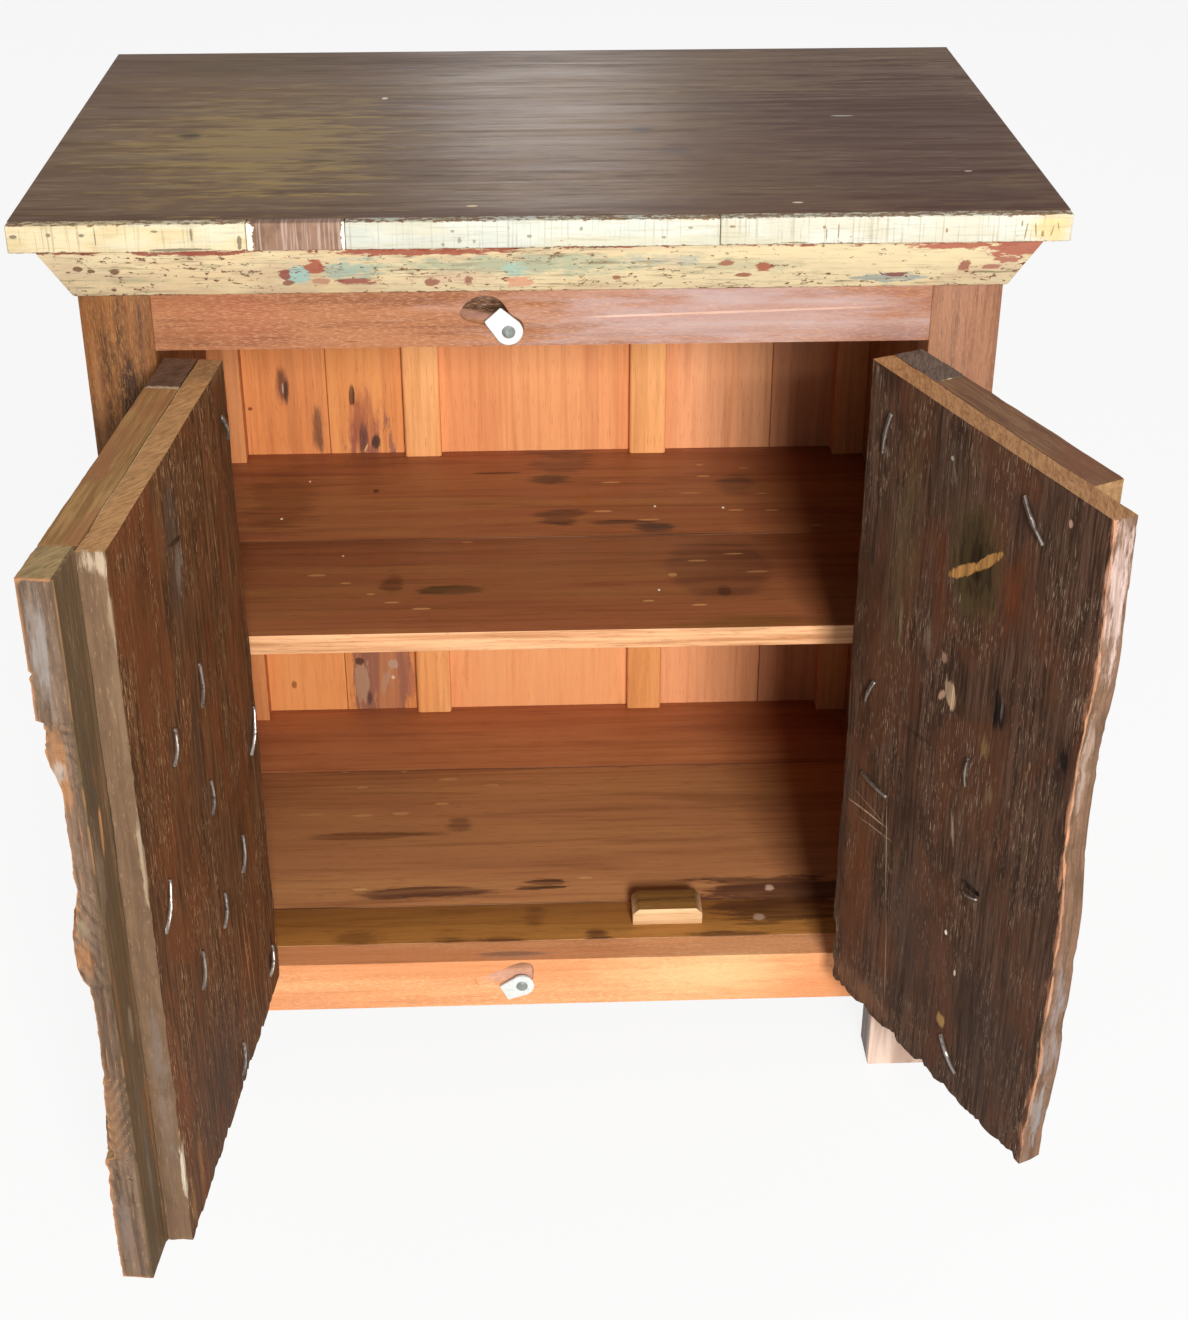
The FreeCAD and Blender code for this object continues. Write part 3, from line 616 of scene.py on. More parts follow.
class Workshop:
    """Tools that shape one piece at a time."""

    @staticmethod
    def clear() -> None:
        """Deselects everything."""
        if bpy.context.object is not None and bpy.context.object.mode != "OBJECT":
            bpy.ops.object.mode_set(mode="OBJECT")
        bpy.ops.object.select_all(action="DESELECT")

    @classmethod
    def pick(cls, piece: Piece) -> Piece:
        """Makes one piece the active and only selected one."""
        cls.clear()
        piece.select_set(True)
        bpy.context.view_layer.objects.active = piece
        return piece

    @classmethod
    def slab(cls, name: str, low: Sequence[float], high: Sequence[float], step: float = 0.0,
             thick_step: float = 0.0) -> Piece:
        """Board between two corners, cut into cells of about one step each way.

        Args:
            name: Name of the piece.
            low: Lowest corner.
            high: Highest corner.
            step: Size of the cells over its width and height.
            thick_step: Size of the cells through its thickness.

        Returns:
            The board, with its object at the origin.
        """
        cls.clear()
        middle = [(a + b) / 2 for a, b in zip(low, high)]
        bpy.ops.mesh.primitive_cube_add(size=1, location=middle)
        piece = bpy.context.object
        piece.name = piece.data.name = name
        piece.scale = [b - a for a, b in zip(low, high)]
        bpy.ops.object.transform_apply(location=True, rotation=True, scale=True)
        for axis, size in ((0, step), (1, thick_step or step), (2, step)):
            if size:
                cls.cut(piece, axis, max(0, round((high[axis] - low[axis]) / size) - 1))
        return piece

    @classmethod
    def cut(cls, piece: Piece, axis: int, cuts: int) -> None:
        """Divides every edge that runs along one axis into equal lengths."""
        while cuts > 0:
            now = cuts if cuts <= MOST_CUTS else round(math.sqrt(cuts + 1)) - 1
            cls.pick(piece)
            bpy.ops.object.mode_set(mode="EDIT")
            bpy.ops.mesh.select_mode(type="EDGE")
            bpy.ops.mesh.select_all(action="DESELECT")
            bpy.ops.object.mode_set(mode="OBJECT")
            places = [vertex.co for vertex in piece.data.vertices]
            for edge in piece.data.edges:
                span = places[edge.vertices[0]] - places[edge.vertices[1]]
                edge.select = abs(span[axis]) > 0.99 * span.length
            bpy.ops.object.mode_set(mode="EDIT")
            bpy.ops.mesh.subdivide(number_cuts=now)
            bpy.ops.object.mode_set(mode="OBJECT")
            cuts = round((cuts + 1) / (now + 1)) - 1

    @classmethod
    def shape(cls, piece: Piece, direction: str, reach: float,
              weight: Callable[[Vector], float]) -> Piece:
        """Pushes a surface along one axis by a share of a reach.

        Args:
            piece: The piece.
            direction: X, Y, Z or NORMAL.
            reach: Distance in metres for a weight of 1.
            weight: Gives a vertex's share, from 0 to 1, from its place.

        Returns:
            The piece.
        """
        group = piece.vertex_groups.new(name="shape")
        for vertex in piece.data.vertices:
            share = weight(vertex.co)
            if share > 0:
                group.add([vertex.index], min(share, 1.0), "REPLACE")
        cls.pick(piece)
        push = piece.modifiers.new("shape", "DISPLACE")
        push.direction = direction
        push.strength = reach
        push.mid_level = 0.0
        push.vertex_group = group.name
        bpy.ops.object.modifier_apply(modifier=push.name)
        piece.vertex_groups.clear()
        return piece

    @classmethod
    def bevel(cls, piece: Piece, width: float, segments: int = 2, angle: float = 35.0,
              outer: bool = False) -> Piece:
        """Rounds the edges of a piece.

        Args:
            piece: The piece.
            width: Width of the rounding.
            segments: Steps of the rounding.
            angle: Least angle of an edge that is rounded, in degrees.
            outer: Whether only the arrises between its outermost faces are rounded.

        Returns:
            The piece.
        """
        cls.pick(piece)
        edge = piece.modifiers.new("edge", "BEVEL")
        edge.width = width
        edge.segments = segments
        edge.limit_method = "ANGLE"
        edge.angle_limit = math.radians(angle)
        if outer:
            corners = [Vector(corner) for corner in piece.bound_box]
            low, high = corners[0], corners[6]
            group = piece.vertex_groups.new(name="outer")
            for vertex in piece.data.vertices:
                if all(min(vertex.co[n] - low[n], high[n] - vertex.co[n]) < TOUCHING for n in (1, 2)):
                    group.add([vertex.index], 1.0, "REPLACE")
            edge.limit_method = "VGROUP"
            edge.vertex_group = group.name
        bpy.ops.object.modifier_apply(modifier=edge.name)
        piece.vertex_groups.clear()
        return piece

    @classmethod
    def smooth(cls, piece: Piece, angle: float = 40.0) -> Piece:
        """Smooths a piece but for its sharp edges."""
        cls.pick(piece)
        bpy.ops.object.shade_smooth_by_angle(angle=math.radians(angle))
        return piece

    @classmethod
    def copy_of(cls, node: str, name: str) -> Piece:
        """Merged copy of a CAD node's mesh, as a piece of its own."""
        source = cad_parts[node]
        piece = bpy.data.objects.new(name, source.data.copy())
        bpy.context.scene.collection.objects.link(piece)
        cls.pick(piece)
        bpy.ops.object.mode_set(mode="EDIT")
        bpy.ops.mesh.select_all(action="SELECT")
        bpy.ops.mesh.remove_doubles(threshold=MERGED)
        bpy.ops.mesh.dissolve_limited(angle_limit=FLAT_ANGLE)
        bpy.ops.object.mode_set(mode="OBJECT")
        return piece

    @classmethod
    def join(cls, name: str, pieces: Sequence[Piece]) -> Piece:
        """Makes one object of several."""
        cls.clear()
        for piece in pieces:
            piece.select_set(True)
        bpy.context.view_layer.objects.active = pieces[0]
        if len(pieces) > 1:
            bpy.ops.object.join()
        pieces[0].name = pieces[0].data.name = name
        return pieces[0]

    @classmethod
    def settle(cls, piece: Piece, body: str, nodes: Sequence[str]) -> Piece:
        """Makes a piece ride on its body and stand for its nodes."""
        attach(piece, body)
        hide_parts(*nodes)
        log.info("%s stands for %s", piece.name, ", ".join(nodes))
        return piece


@dataclass
class Carcase:
    """Legs, rails, panels, boards and shelf."""

    edge: float = 0.9 * MM
    tight: float = 0.3 * MM
    board_face: float = 0.2345
    shelf_top: float = 0.505
    floor_top: float = 0.153
    front: float = -0.2575
    rail_angle: float = 8.0
    board_angle: float = 40.0
    finishes: dict[str, tuple[PlankFinish, Slot]] = field(default_factory=dict)

    def upright(self, across: float, up: float, wide: float, high: float, colour: str,
                *look: float, **more: float) -> Mark:
        """Mark on the back boards."""
        return Mark((across, self.board_face, up), (wide, 0.012, high), colour, *look, **more)

    def flat(self, across: float, deep: float, wide: float, long: float, colour: str,
             *look: float, **more: float) -> Mark:
        """Mark on the shelf."""
        return Mark((across, deep, self.shelf_top), (wide, long, 0.006), colour, *look, **more)

    def low(self, across: float, deep: float, wide: float, long: float, colour: str,
            *look: float, **more: float) -> Mark:
        """Mark on the floor boards."""
        return Mark((across, deep, self.floor_top), (wide, long, 0.006), colour, *look, **more)

    def face(self, across: float, up: float, wide: float, high: float, colour: str,
             *look: float) -> Mark:
        """Mark on the front of the rails."""
        return Mark((across, self.front, up), (wide, 0.01, high), colour, *look)

    def back_marks(self) -> dict[str, tuple[Mark, ...]]:
        """Knots and stains of the back boards and battens, and painted light on the boards below the
        shelf.
        """
        mark = self.upright
        return {
            "back_board_1": (
                # Painted light: a paler patch on the board below the shelf, where the lower compartment is
                # lit more.
                mark(-0.29, 0.19, 0.12, 0.20, "f0a866", 0.5),
                mark(-0.294, 0.591, 0.009, 0.030, "5c3428", 0.85, 0.6),
                mark(-0.291, 0.584, 0.004, 0.018, "2e1c1a", 0.7),
                mark(-0.294, 0.588, 0.0012, 0.009, "b8a090", 0.7),
                mark(-0.258, 0.538, 0.009, 0.036, "3e2824", 0.85),
                mark(-0.333, 0.563, 0.003, 0.003, "6a2c14"),
                mark(-0.309, 0.190, 0.004, 0.006, "7a4020", 0.7)),
            "back_board_2": (
                mark(-0.198, 0.300, 0.046, 0.245, "8a5a4a", 0.92, 0.2),
                mark(-0.204, 0.537, 0.021, 0.055, "96503c", 0.75, 0.6),
                mark(-0.216, 0.577, 0.0035, 0.014, "1c1414", 0.95, 0.4),
                mark(-0.206, 0.522, 0.0062, 0.034, "4a3434", 0.85, 0.6),
                mark(-0.191, 0.519, 0.0075, 0.011, "3a2c2c", 0.85, rings=14),
                mark(-0.203, 0.511, 0.0015, 0.007, "d8a878", turn=24),
                mark(-0.224, 0.195, 0.009, 0.026, "a88468", 0.9, 0.2, 0.7),
                mark(-0.195, 0.194, 0.005, 0.017, "ac8a70", 0.9, 0.2, 0.7, turn=12),
                mark(-0.186, 0.217, 0.006, 0.006, "b08e76", 0.9, 0.2, 0.7),
                mark(-0.216, 0.168, 0.004, 0.013, "4c3a38"), mark(-0.226, 0.222, 0.007, 0.006, "3c2820"),
                mark(-0.186, 0.198, 0.0028, 0.0034, "e0c0a8"),
                mark(-0.161, 0.194, 0.007, 0.030, "b8744c", 0.7)),
            # Painted light: a paler patch on the board below the shelf, where the lower compartment is lit
            # more.
            "back_board_3": (mark(0.0, 0.19, 0.17, 0.20, "fab87e", 0.45),),
            "back_batten_left": (
                mark(-0.120, 0.620, 0.0022, 0.004, "5a341c"),
                mark(-0.121, 0.613, 0.003, 0.006, "96602c", 0.6),
                mark(-0.148, 0.582, 0.0012, 0.0014, "2c1608"),
                mark(-0.126, 0.510, 0.0012, 0.0014, "2c1608"),
                mark(-0.143, 0.602, 0.001, 0.001, "2c1608"), mark(-0.131, 0.611, 0.001, 0.001, "2c1608"),
                mark(-0.123, 0.181, 0.0058, 0.017, "8a8268"),
                mark(-0.122, 0.184, 0.0014, 0.0022, "2a1c14"))}

    def shelf_marks(self) -> dict[str, tuple[Mark, ...]]:
        """Dark figure and scratches of the shelf."""
        mark = self.flat
        rear = [
            mark(0.022, 0.210, 0.036, 0.070, "402820", 0.6, 0.5, 0.6),
            mark(0.010, 0.155, 0.030, 0.014, "35221e", 0.75),
            mark(0.018, 0.060, 0.030, 0.024, "34241f", 0.85, 0.4, 0.6),
            mark(0.046, 0.104, 0.014, 0.016, "a05a26", 0.75), mark(0.078, 0.048, 0.042, 0.007, "3a2824"),
            mark(0.121, 0.034, 0.026, 0.015, "34302a", 0.85, 0.4),
            mark(0.219, 0.134, 0.026, 0.034, "42302a", 0.65, 0.6),
            mark(-0.047, 0.175, 0.036, 0.004, "35190c"), mark(-0.186, 0.133, 0.005, 0.007, "35190c"),
            mark(-0.29, 0.12, 0.05, 0.10, "552a14", 0.5)]
        rear += [mark(*place, "c89058", 0.9, 0.3, 0.15) for place in (
            (0.182, 0.188, 0.005, 0.002), (0.184, 0.158, 0.009, 0.0024), (0.232, 0.178, 0.007, 0.002),
            (0.165, 0.116, 0.015, 0.0022), (0.246, 0.112, 0.007, 0.002), (0.212, 0.072, 0.010, 0.002),
            (0.252, 0.070, 0.010, 0.002), (0.078, 0.146, 0.012, 0.0022), (0.066, 0.074, 0.012, 0.0026),
            (0.115, 0.052, 0.014, 0.0022), (0.296, 0.032, 0.008, 0.002))]
        front = [
            mark(-0.157, -0.079, 0.012, 0.030, "3c2012", 0.65, 0.6, 0.6),
            mark(-0.098, -0.100, 0.040, 0.011, "48361f", 0.9, 0.3),
            mark(0.182, -0.060, 0.062, 0.072, "4a2a1e", 0.5, 0.25, 0.1),
            mark(0.182, -0.108, 0.009, 0.014, "38201a", 0.6, rings=12),
            mark(0.200, -0.178, 0.10, 0.022, "6a4a1a", 0.5, 0.8)]
        front += [mark(*place, "c89058", 0.9, 0.3, 0.15) for place in (
            (0.132, -0.074, 0.006, 0.005), (0.221, -0.070, 0.014, 0.0026),
            (0.160, -0.044, 0.011, 0.0022), (0.104, -0.128, 0.007, 0.002),
            (0.155, -0.138, 0.009, 0.002), (-0.236, -0.062, 0.011, 0.0026),
            (-0.205, -0.080, 0.006, 0.002), (-0.178, -0.104, 0.005, 0.002),
            (-0.156, -0.122, 0.009, 0.002),
            (-0.125, -0.136, 0.011, 0.0022), (-0.082, 0.006, 0.008, 0.002), (0.20, -0.03, 0.012, 0.002))]
        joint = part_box("shelf_board_rear")[0].y
        seam = (0.95, 0.2, 0.02)
        front.append(mark(0, joint, 0.5, 0.0014, "50290f", *seam))
        rear.append(mark(0, joint, 0.5, 0.0014, "50290f", *seam))
        rear.append(mark(0.18, joint + 0.001, 0.09, 0.0012, "30180c", 0.9, 0.4, 0.3))
        specks = [(x, y, 0.0016, 0.0024) for x, y in ((-0.262, 0.160), (-0.285, 0.068), (-0.338, -0.012),
                  (-0.302, -0.168), (0.199, 0.078), (0.116, -0.106), (-0.212, -0.02), (0.124, 0.084))]
        bright = [mark(*place, "fff2dc", 1.0, 0.3, 0.2) for place in specks]
        return {"shelf_board_rear": tuple(rear + bright), "shelf_board_front": tuple(front + bright)}

    def floor_marks(self) -> dict[str, tuple[Mark, ...]]:
        """Dark figure, stains and scratches of the floor."""
        mark = self.low
        middle = [
            mark(-0.194, -0.034, 0.100, 0.008, "4e2c18", 0.75),
            mark(-0.100, -0.016, 0.018, 0.016, "4a3024", 0.75),
            mark(-0.137, -0.139, 0.090, 0.012, "4a2a22", 0.85, 0.4),
            mark(0.000, -0.126, 0.028, 0.006, "3a241c", 0.9, 0.3, 0.6),
            mark(-0.004, -0.136, 0.030, 0.004, "3a241c", 0.9, 0.3, 0.6),
            mark(0.092, 0.101, 0.014, 0.010, "5c301c", 0.7, rings=10),
            mark(0.250, -0.148, 0.110, 0.026, "46281e", 0.85, 0.35, 0.6),
            mark(0.240, -0.146, 0.006, 0.006, "c8a488", 0.8, 0.5, 0.6)]
        middle += [mark(*place, "c89860", 0.8, 0.3, 0.3) for place in (
            (-0.238, 0.096, 0.008, 0.003), (-0.196, 0.098, 0.009, 0.003), (-0.216, 0.062, 0.007, 0.003),
            (-0.168, 0.094, 0.004, 0.003), (-0.116, 0.076, 0.012, 0.003), (-0.064, 0.062, 0.013, 0.003),
            (-0.272, 0.010, 0.020, 0.003), (-0.212, 0.006, 0.012, 0.003), (-0.168, 0.008, 0.010, 0.003),
            (-0.122, 0.026, 0.010, 0.003), (-0.205, -0.132, 0.011, 0.003), (0.040, -0.120, 0.010, 0.002))]
        front = [
            mark(-0.205, -0.218, 0.030, 0.022, "4e2a16", 0.8, 0.8, 0.7),
            mark(-0.106, -0.225, 0.028, 0.018, "4a2816", 0.8, 0.8, 0.7),
            mark(-0.052, -0.228, 0.030, 0.013, "4e2a18", 0.8, 0.8, 0.7),
            mark(-0.018, -0.190, 0.016, 0.020, "5a3622", 0.7, 0.8, 0.6),
            mark(0.048, -0.228, 0.018, 0.018, "46281e", 0.85, 0.4, 0.6),
            mark(0.199, -0.228, 0.060, 0.012, "4a2c20", 0.85, 0.4, 0.5),
            mark(0.248, -0.182, 0.110, 0.030, "46281e", 0.8, 0.35, 0.6),
            mark(0.222, -0.196, 0.007, 0.007, "b89880", 0.8, 0.5, 0.6)]
        seam = (0.95, 0.2, 0.02)
        near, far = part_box("floor_board_middle")
        middle += [mark(0, near.y, 0.5, 0.0014, "4a280e", *seam),
                   mark(0, far.y, 0.5, 0.0014, "603216", *seam)]
        front.append(mark(0, near.y, 0.5, 0.0014, "4a280e", *seam))
        rear = (mark(0, far.y, 0.5, 0.0014, "603216", *seam),)
        return {"floor_board_rear": rear, "floor_board_middle": tuple(middle),
                "floor_board_front": tuple(front)}

    def plan(self) -> None:
        """Chooses the finish of each node of the carcase."""
        face = self.face
        rail = PlankFinish("905838", "5e3220", "a8724e", Grain.ACROSS, 1.0, ticks=0.3, tick_tone="d0a07a",
                           tick_size=(190, 1500), tick_limit=0.55, roughness=0.5, gloss=0.2)
        head_sheen_shade_and_marks = (
            # Painted reflection: the large pale mauve patch on the right half stands in for the rail's
            # sheen. The rest are a darker left end, a pale scratch and a darker worn corner.
            face(0.18, 0.862, 0.29, 0.06, "ae9894", 0.8, 0.9),
            face(-0.26, 0.862, 0.06, 0.04, "94543c", 0.6, 0.9),
            face(0.16, 0.866, 0.16, 0.0012, "d8b098", 0.7, 0.4, 0.35, -1.4),
            face(0.30, 0.842, 0.07, 0.012, "74504a", 0.5, 0.8),
            # Finger scoop of the top button: a pinkish floor, and over its deepest part a dark painted
            # shade under the scoop's upper edge.
            Mark((-0.04, -0.2475, 0.866), (0.06, 0.0092, 0.04), "9c7464", 0.85, 0.2, 0.05),
            Mark((-0.04, -0.2455, 0.866), (0.06, 0.0083, 0.04), "3c2614", 1.0, 0.1, 0.05))
        self.finishes["front_head"] = (replace(rail, marks=head_sheen_shade_and_marks), Slot.FRAME)
        post = PlankFinish("7e4a26", "4a2a14", "a06c3c", Grain.UPRIGHT, 2.0, ticks=0.5,
                           tick_tone="cc9a62", tick_size=(170, 1400), tick_limit=0.55, roughness=0.5,
                           gloss=0.2)
        back = PlankFinish("d88a50", "a05a2a", "eea668", Grain.UPRIGHT, 3.0, streaks=0.42, pores=0.45,
                           roughness=0.5, gloss=0.2)
        shelf = PlankFinish("9a5a38", "62341e", "ae7644", Grain.ACROSS, 5.0, front=("e4ac7e", "b47c50"),
                            roughness=0.4, gloss=0.25, streaks=0.45)
        for name in ("rear_head", "rear_sill"):
            self.finishes[name] = (rail, Slot.FRAME)
        sill_light_shade_and_tones = (
            # Painted highlight: the bright orange patch right of centre. The next two make the sill darker
            # towards both ends.
            face(0.16, 0.13, 0.14, 0.05, "f4bc84", 0.7, 0.9),
            face(0.29, 0.11, 0.06, 0.03, "c88050", 0.5, 0.8),
            face(-0.25, 0.10, 0.06, 0.02, "c8845c", 0.6, 0.8),
            # Finger scoop of the sill button: a pale floor, and over its deepest part a darker painted
            # shade.
            Mark((-0.04, -0.2475, 0.125), (0.06, 0.0092, 0.04), "b88c78", 0.9, 0.2, 0.05),
            Mark((-0.04, -0.2465, 0.125), (0.06, 0.0068, 0.04), "7c5434", 0.95, 0.25, 0.05))
        sill = replace(rail, main="da8e5c", dark="b87444", light="ecae78", tick_tone="fcd4a8", seed=4.0,
                       marks=sill_light_shade_and_tones)
        self.finishes["front_sill"] = (sill, Slot.FRAME)
        deep = replace(rail, grain=Grain.DEEP)
        panel = replace(post, seed=6.0, ticks=0.3)
        rear = replace(post, main="c07848", dark="94542e", light="cc8650", seed=5.0, ticks=0.1)
        # Painted shadow of the open left door on the left front leg, darkest near the door, and a paler
        # streak near the leg's outer edge.
        door_shadow_marks = (Mark((-0.364, -0.2575, 0.765), (0.075, 0.05, 0.11), "2c1a0c", 0.85, 1.0, 0.8),
               Mark((-0.392, -0.2575, 0.80), (0.006, 0.05, 0.09), "a8744a", 0.4, 0.9))
        left = replace(post, main="70421f", ticks=0.35, tick_tone="b8844c", marks=door_shadow_marks)
        # Painted light: the pale foot of the right front leg is a painted highlight where the lamp falls
        # on it. The narrow dark mark is painted shade on the leg's inner side face.
        pale = (Mark((0.368, -0.25, 0.03), (0.09, 0.05, 0.075), "ecd2c0", 0.95, 0.6, 0.2),
                Mark((0.3405, -0.2255, 0.04), (0.004, 0.031, 0.12), "33281f", 0.92, 0.3, 0.1))
        right = replace(post, main="8a5a42", dark="563626", light="9e7256", seed=9.0, ticks=0.15,
                        marks=pale)
        for side, leg in (("left", left), ("right", right)):
            for name, finish in (("side_head_", deep), ("side_sill_", deep), ("side_panel_", panel),
                                 ("leg_front_", leg), ("leg_rear_", rear)):
                self.finishes[name + side] = (finish, Slot.FRAME)
        back_marks = self.back_marks()
        tones = (("d0804a", "98502a", "dc9258"), ("d88a50", "a85e30", "eaa060"),
                 ("e49460", "b86c3e", "f0a870"), ("ea9f6e", "b87044", "f2b080"),
                 ("c8845a", "90583a", "d89468"))
        for number, (main, dark, light) in enumerate(tones, 1):
            name = f"back_board_{number}"
            self.finishes[name] = (replace(back, main=main, dark=dark, light=light, seed=10.0 + number,
                                           marks=back_marks.get(name, ())), Slot.ORANGE)
        for side, seed in (("left", 8.0), ("right", 18.0)):
            name = "back_batten_" + side
            self.finishes[name] = (replace(back, seed=seed, main="e69c5e", dark="b8743c", light="f8b87c",
                                           marks=back_marks.get(name, ())), Slot.ORANGE)
        dark_marks = {**self.shelf_marks(), **self.floor_marks()}
        floors = {"floor_board_rear": ("a2623c", "763c22", "b87446"),
                  "floor_board_middle": ("ae744a", "764628", "c08a54"),
                  "floor_board_front": ("9e6832", "6a3c1a", "b88040")}
        for number, name in enumerate(("shelf_board_front", "shelf_board_rear", *floors)):
            main, dark, light = floors.get(name, ("9a5a38", "62341e", "ae7644"))
            self.finishes[name] = (replace(shelf, main=main, dark=dark, light=light, seed=20.0 + number,
                                           marks=dark_marks.get(name, ())), Slot.SHELF)
        self.finishes["shelf_bearers"] = (replace(back, grain=Grain.DEEP), Slot.SHELF)
        block = PlankFinish("deb488", "a87a4c", "f0cc9c", Grain.ACROSS, 30.0, upper=("8a6030", "5c4020"),
                            gloss=0.1)
        self.finishes["stop_block"] = (block, Slot.ORANGE)

    def build(self) -> None:
        """Rounds the edges of each board and dresses it."""
        self.plan()
        for name, (finish, slot) in self.finishes.items():
            piece = Workshop.copy_of(name, "worn_" + name)
            rail = name in ("front_head", "front_sill")
            Workshop.bevel(piece, self.tight if slot is Slot.SHELF else self.edge, outer=rail)
            Workshop.smooth(piece, self.rail_angle if rail else self.board_angle)
            dress(piece, finish, slot)
            Workshop.settle(piece, "carcase", [name])


@dataclass
class Top:
    """Top board with its end strips, painted lipping and cornice."""

    lip_face: float = -0.3005
    slope_face: float = -0.2725
    height: float = 0.966
    rounding: float = 1.2 * MM

    def lip(self, across: float, up: float, wide: float, high: float, colour: str,
            *look: float, **more: float) -> Mark:
        """Mark on the front of the lipping."""
        return Mark((across, self.lip_face, up), (wide, 0.006, high), colour, *look, **more)

    def slope(self, across: float, up: float, wide: float, high: float, colour: str,
              *look: float, **more: float) -> Mark:
        """Mark on the front of the cornice."""
        return Mark((across, self.slope_face, up), (wide, 0.03, high), colour, *look, **more)

    def board(self) -> PlankFinish:
        """Finish of the dark top: painted sheen makes it paler on the left and greyer in its middle, and
        it is redder to the right.
        """
        def mark(across: float, deep: float, wide: float, long: float, colour: str,
                 *look: float, **more: float) -> Mark:
            """Mark on the upper face."""
            return Mark((across, deep, self.height), (wide, long, 0.01), colour, *look, **more)

        return PlankFinish("644630", "301e14", "7e6444", Grain.ACROSS, 40.0, roughness=0.36, gloss=0.03,
                           pores=0.35, ticks=0.25, tick_tone="a08c7c", tick_size=(20, 240),
                           tick_limit=0.62, marks=(
            # Painted reflection: the paler olive-tan patches on the left and the grey patch in the middle
            # stand in for the top's sheen. The dark red patch to the right is the board's own tone.
            mark(-0.30, 0.0, 0.20, 0.36, "7a5c38", 0.6, 0.9, 0.6),
            mark(-0.26, -0.08, 0.15, 0.20, "a08650", 0.75, 0.9, 0.8),
            mark(-0.30, 0.20, 0.12, 0.05, "5a4c30", 0.6, 0.8, 0.8),
            mark(0.03, -0.02, 0.15, 0.34, "967a60", 0.62, 0.95, 0.6),
            mark(0.35, -0.05, 0.19, 0.36, "46261c", 0.85, 0.7, 0.6),
            mark(0.19, 0.05, 0.05, 0.07, "4a2c24", 0.5, 0.8, 0.8),
            mark(-0.325, -0.048, 0.014, 0.012, "33251a", 0.85, 0.6, 0.6),
            mark(0.123, -0.108, 0.02, 0.012, "4c3c34", 0.8, 0.6, 0.6),
            mark(0.096, -0.04, 0.012, 0.014, "5a4e4c", 0.7, 0.6, 0.6),
            mark(-0.14, 0.19, 0.05, 0.005, "37221a", 0.7), mark(-0.09, 0.16, 0.03, 0.006, "37221a", 0.7),
            mark(-0.20, -0.13, 0.02, 0.004, "3c2a1c", 0.7),
            mark(0.292, -0.002, 0.013, 0.0016, "d8d0c8", 0.9, 0.3, 0.1),
            mark(0.378, -0.18, 0.004, 0.0014, "d8c8b8", 0.9, 0.3),
            mark(0.216, -0.262, 0.005, 0.002, "e0c8a8", 0.9, 0.3),
            mark(-0.151, 0.075, 0.003, 0.004, "e8dcc8", 0.9, 0.3),
            mark(-0.06, -0.262, 0.004, 0.002, "e0c090", 0.9, 0.3)))

    def build(self) -> None:
        """Dresses the top and models the painted strips."""
        dark = self.board()
        for name in ("top_board", "top_end_strip_left", "top_end_strip_right"):
            dress(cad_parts[name], dark, Slot.TOP)
        for name, finish in self.lippings().items():
            self.strip(name, finish)
        cornice = self.cornice()
        for number, name in enumerate(("cornice_front", "cornice_left", "cornice_right")):
            self.strip(name, replace(cornice, seed=7.0 + number))

    def lippings(self) -> dict[str, PaintFinish | BareFinish]:
        """Finishes of the four lengths of lipping."""
        low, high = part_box("lipping_1")
        mark = self.lip
        speck = (0.9, 0.3, 0.6)
        coat = PaintFinish("c6b288", "d0be9a", "7a5a42", "8c7e62", low.z, high.z, chips=0.22, streaks=0.3,
                           lines=0.5, tint="c2c0ac", tint_share=0.6)
        first = tuple(mark(x, z, w, h, "6e6654", *speck) for x, z, w, h in (
            (-0.437, 0.9565, 0.003, 0.002), (-0.408, 0.958, 0.002, 0.0018),
            (-0.381, 0.957, 0.0028, 0.0014), (-0.321, 0.960, 0.003, 0.0012),
            (-0.291, 0.957, 0.0014, 0.006), (-0.370, 0.954, 0.0006, 0.010),
            (-0.302, 0.944, 0.03, 0.0012), (-0.252, 0.949, 0.0022, 0.007)))
        pale = replace(coat, coat="bdbeb2", second="c5c4b6", seed=3.0, lines=0.4, tint="bdb596",
                       tint_share=0.5, marks=tuple(mark(x, z, w, h, "8c8a78", *speck) for x, z, w, h in (
                           (-0.076, 0.9575, 0.0022, 0.0016), (-0.070, 0.949, 0.0022, 0.003),
                           (-0.084, 0.9455, 0.0016, 0.0018), (-0.058, 0.948, 0.0018, 0.002),
                           (0.031, 0.958, 0.0016, 0.002), (-0.012, 0.952, 0.002, 0.0014),
                           (0.100, 0.950, 0.0024, 0.0014), (0.122, 0.958, 0.0022, 0.0012))))
        cracks = tuple(mark(x, z, w, h, "8a7250", *speck, turn=t) for x, z, w, h, t in (
            (0.157, 0.9585, 0.003, 0.0014, 0), (0.234, 0.957, 0.0018, 0.0016, 0),
            (0.246, 0.952, 0.0007, 0.009, 0), (0.236, 0.950, 0.0006, 0.007, 0),
            (0.337, 0.953, 0.0012, 0.0024, 0), (0.404, 0.952, 0.0007, 0.008, 6),
            (0.412, 0.953, 0.0007, 0.008, -8), (0.418, 0.949, 0.0012, 0.003, 0),
            (0.426, 0.951, 0.0006, 0.006, 12), (0.431, 0.955, 0.0006, 0.005, -14),
            (0.400, 0.958, 0.0008, 0.003, 0), (0.210, 0.944, 0.012, 0.0008, 0)))
        yellow = mark(0.425, 0.954, 0.024, 0.02, "d4b474", 0.75, 0.7)
        last = replace(pale, coat="c0bba8", seed=5.0, marks=(yellow, *cracks))
        bare = BareFinish("8a6c5a", "b0988a", "745846", 2.0, (
            mark(-0.2445, 0.954, 0.0045, 0.02, "f0e4c8", 1.0, 0.15, 0.7),
            mark(-0.1645, 0.954, 0.0035, 0.02, "f4ecd8", 1.0, 0.15, 0.7)))
        return {"lipping_1": replace(coat, marks=first), "lipping_2": bare, "lipping_3": pale,
                "lipping_4": last}

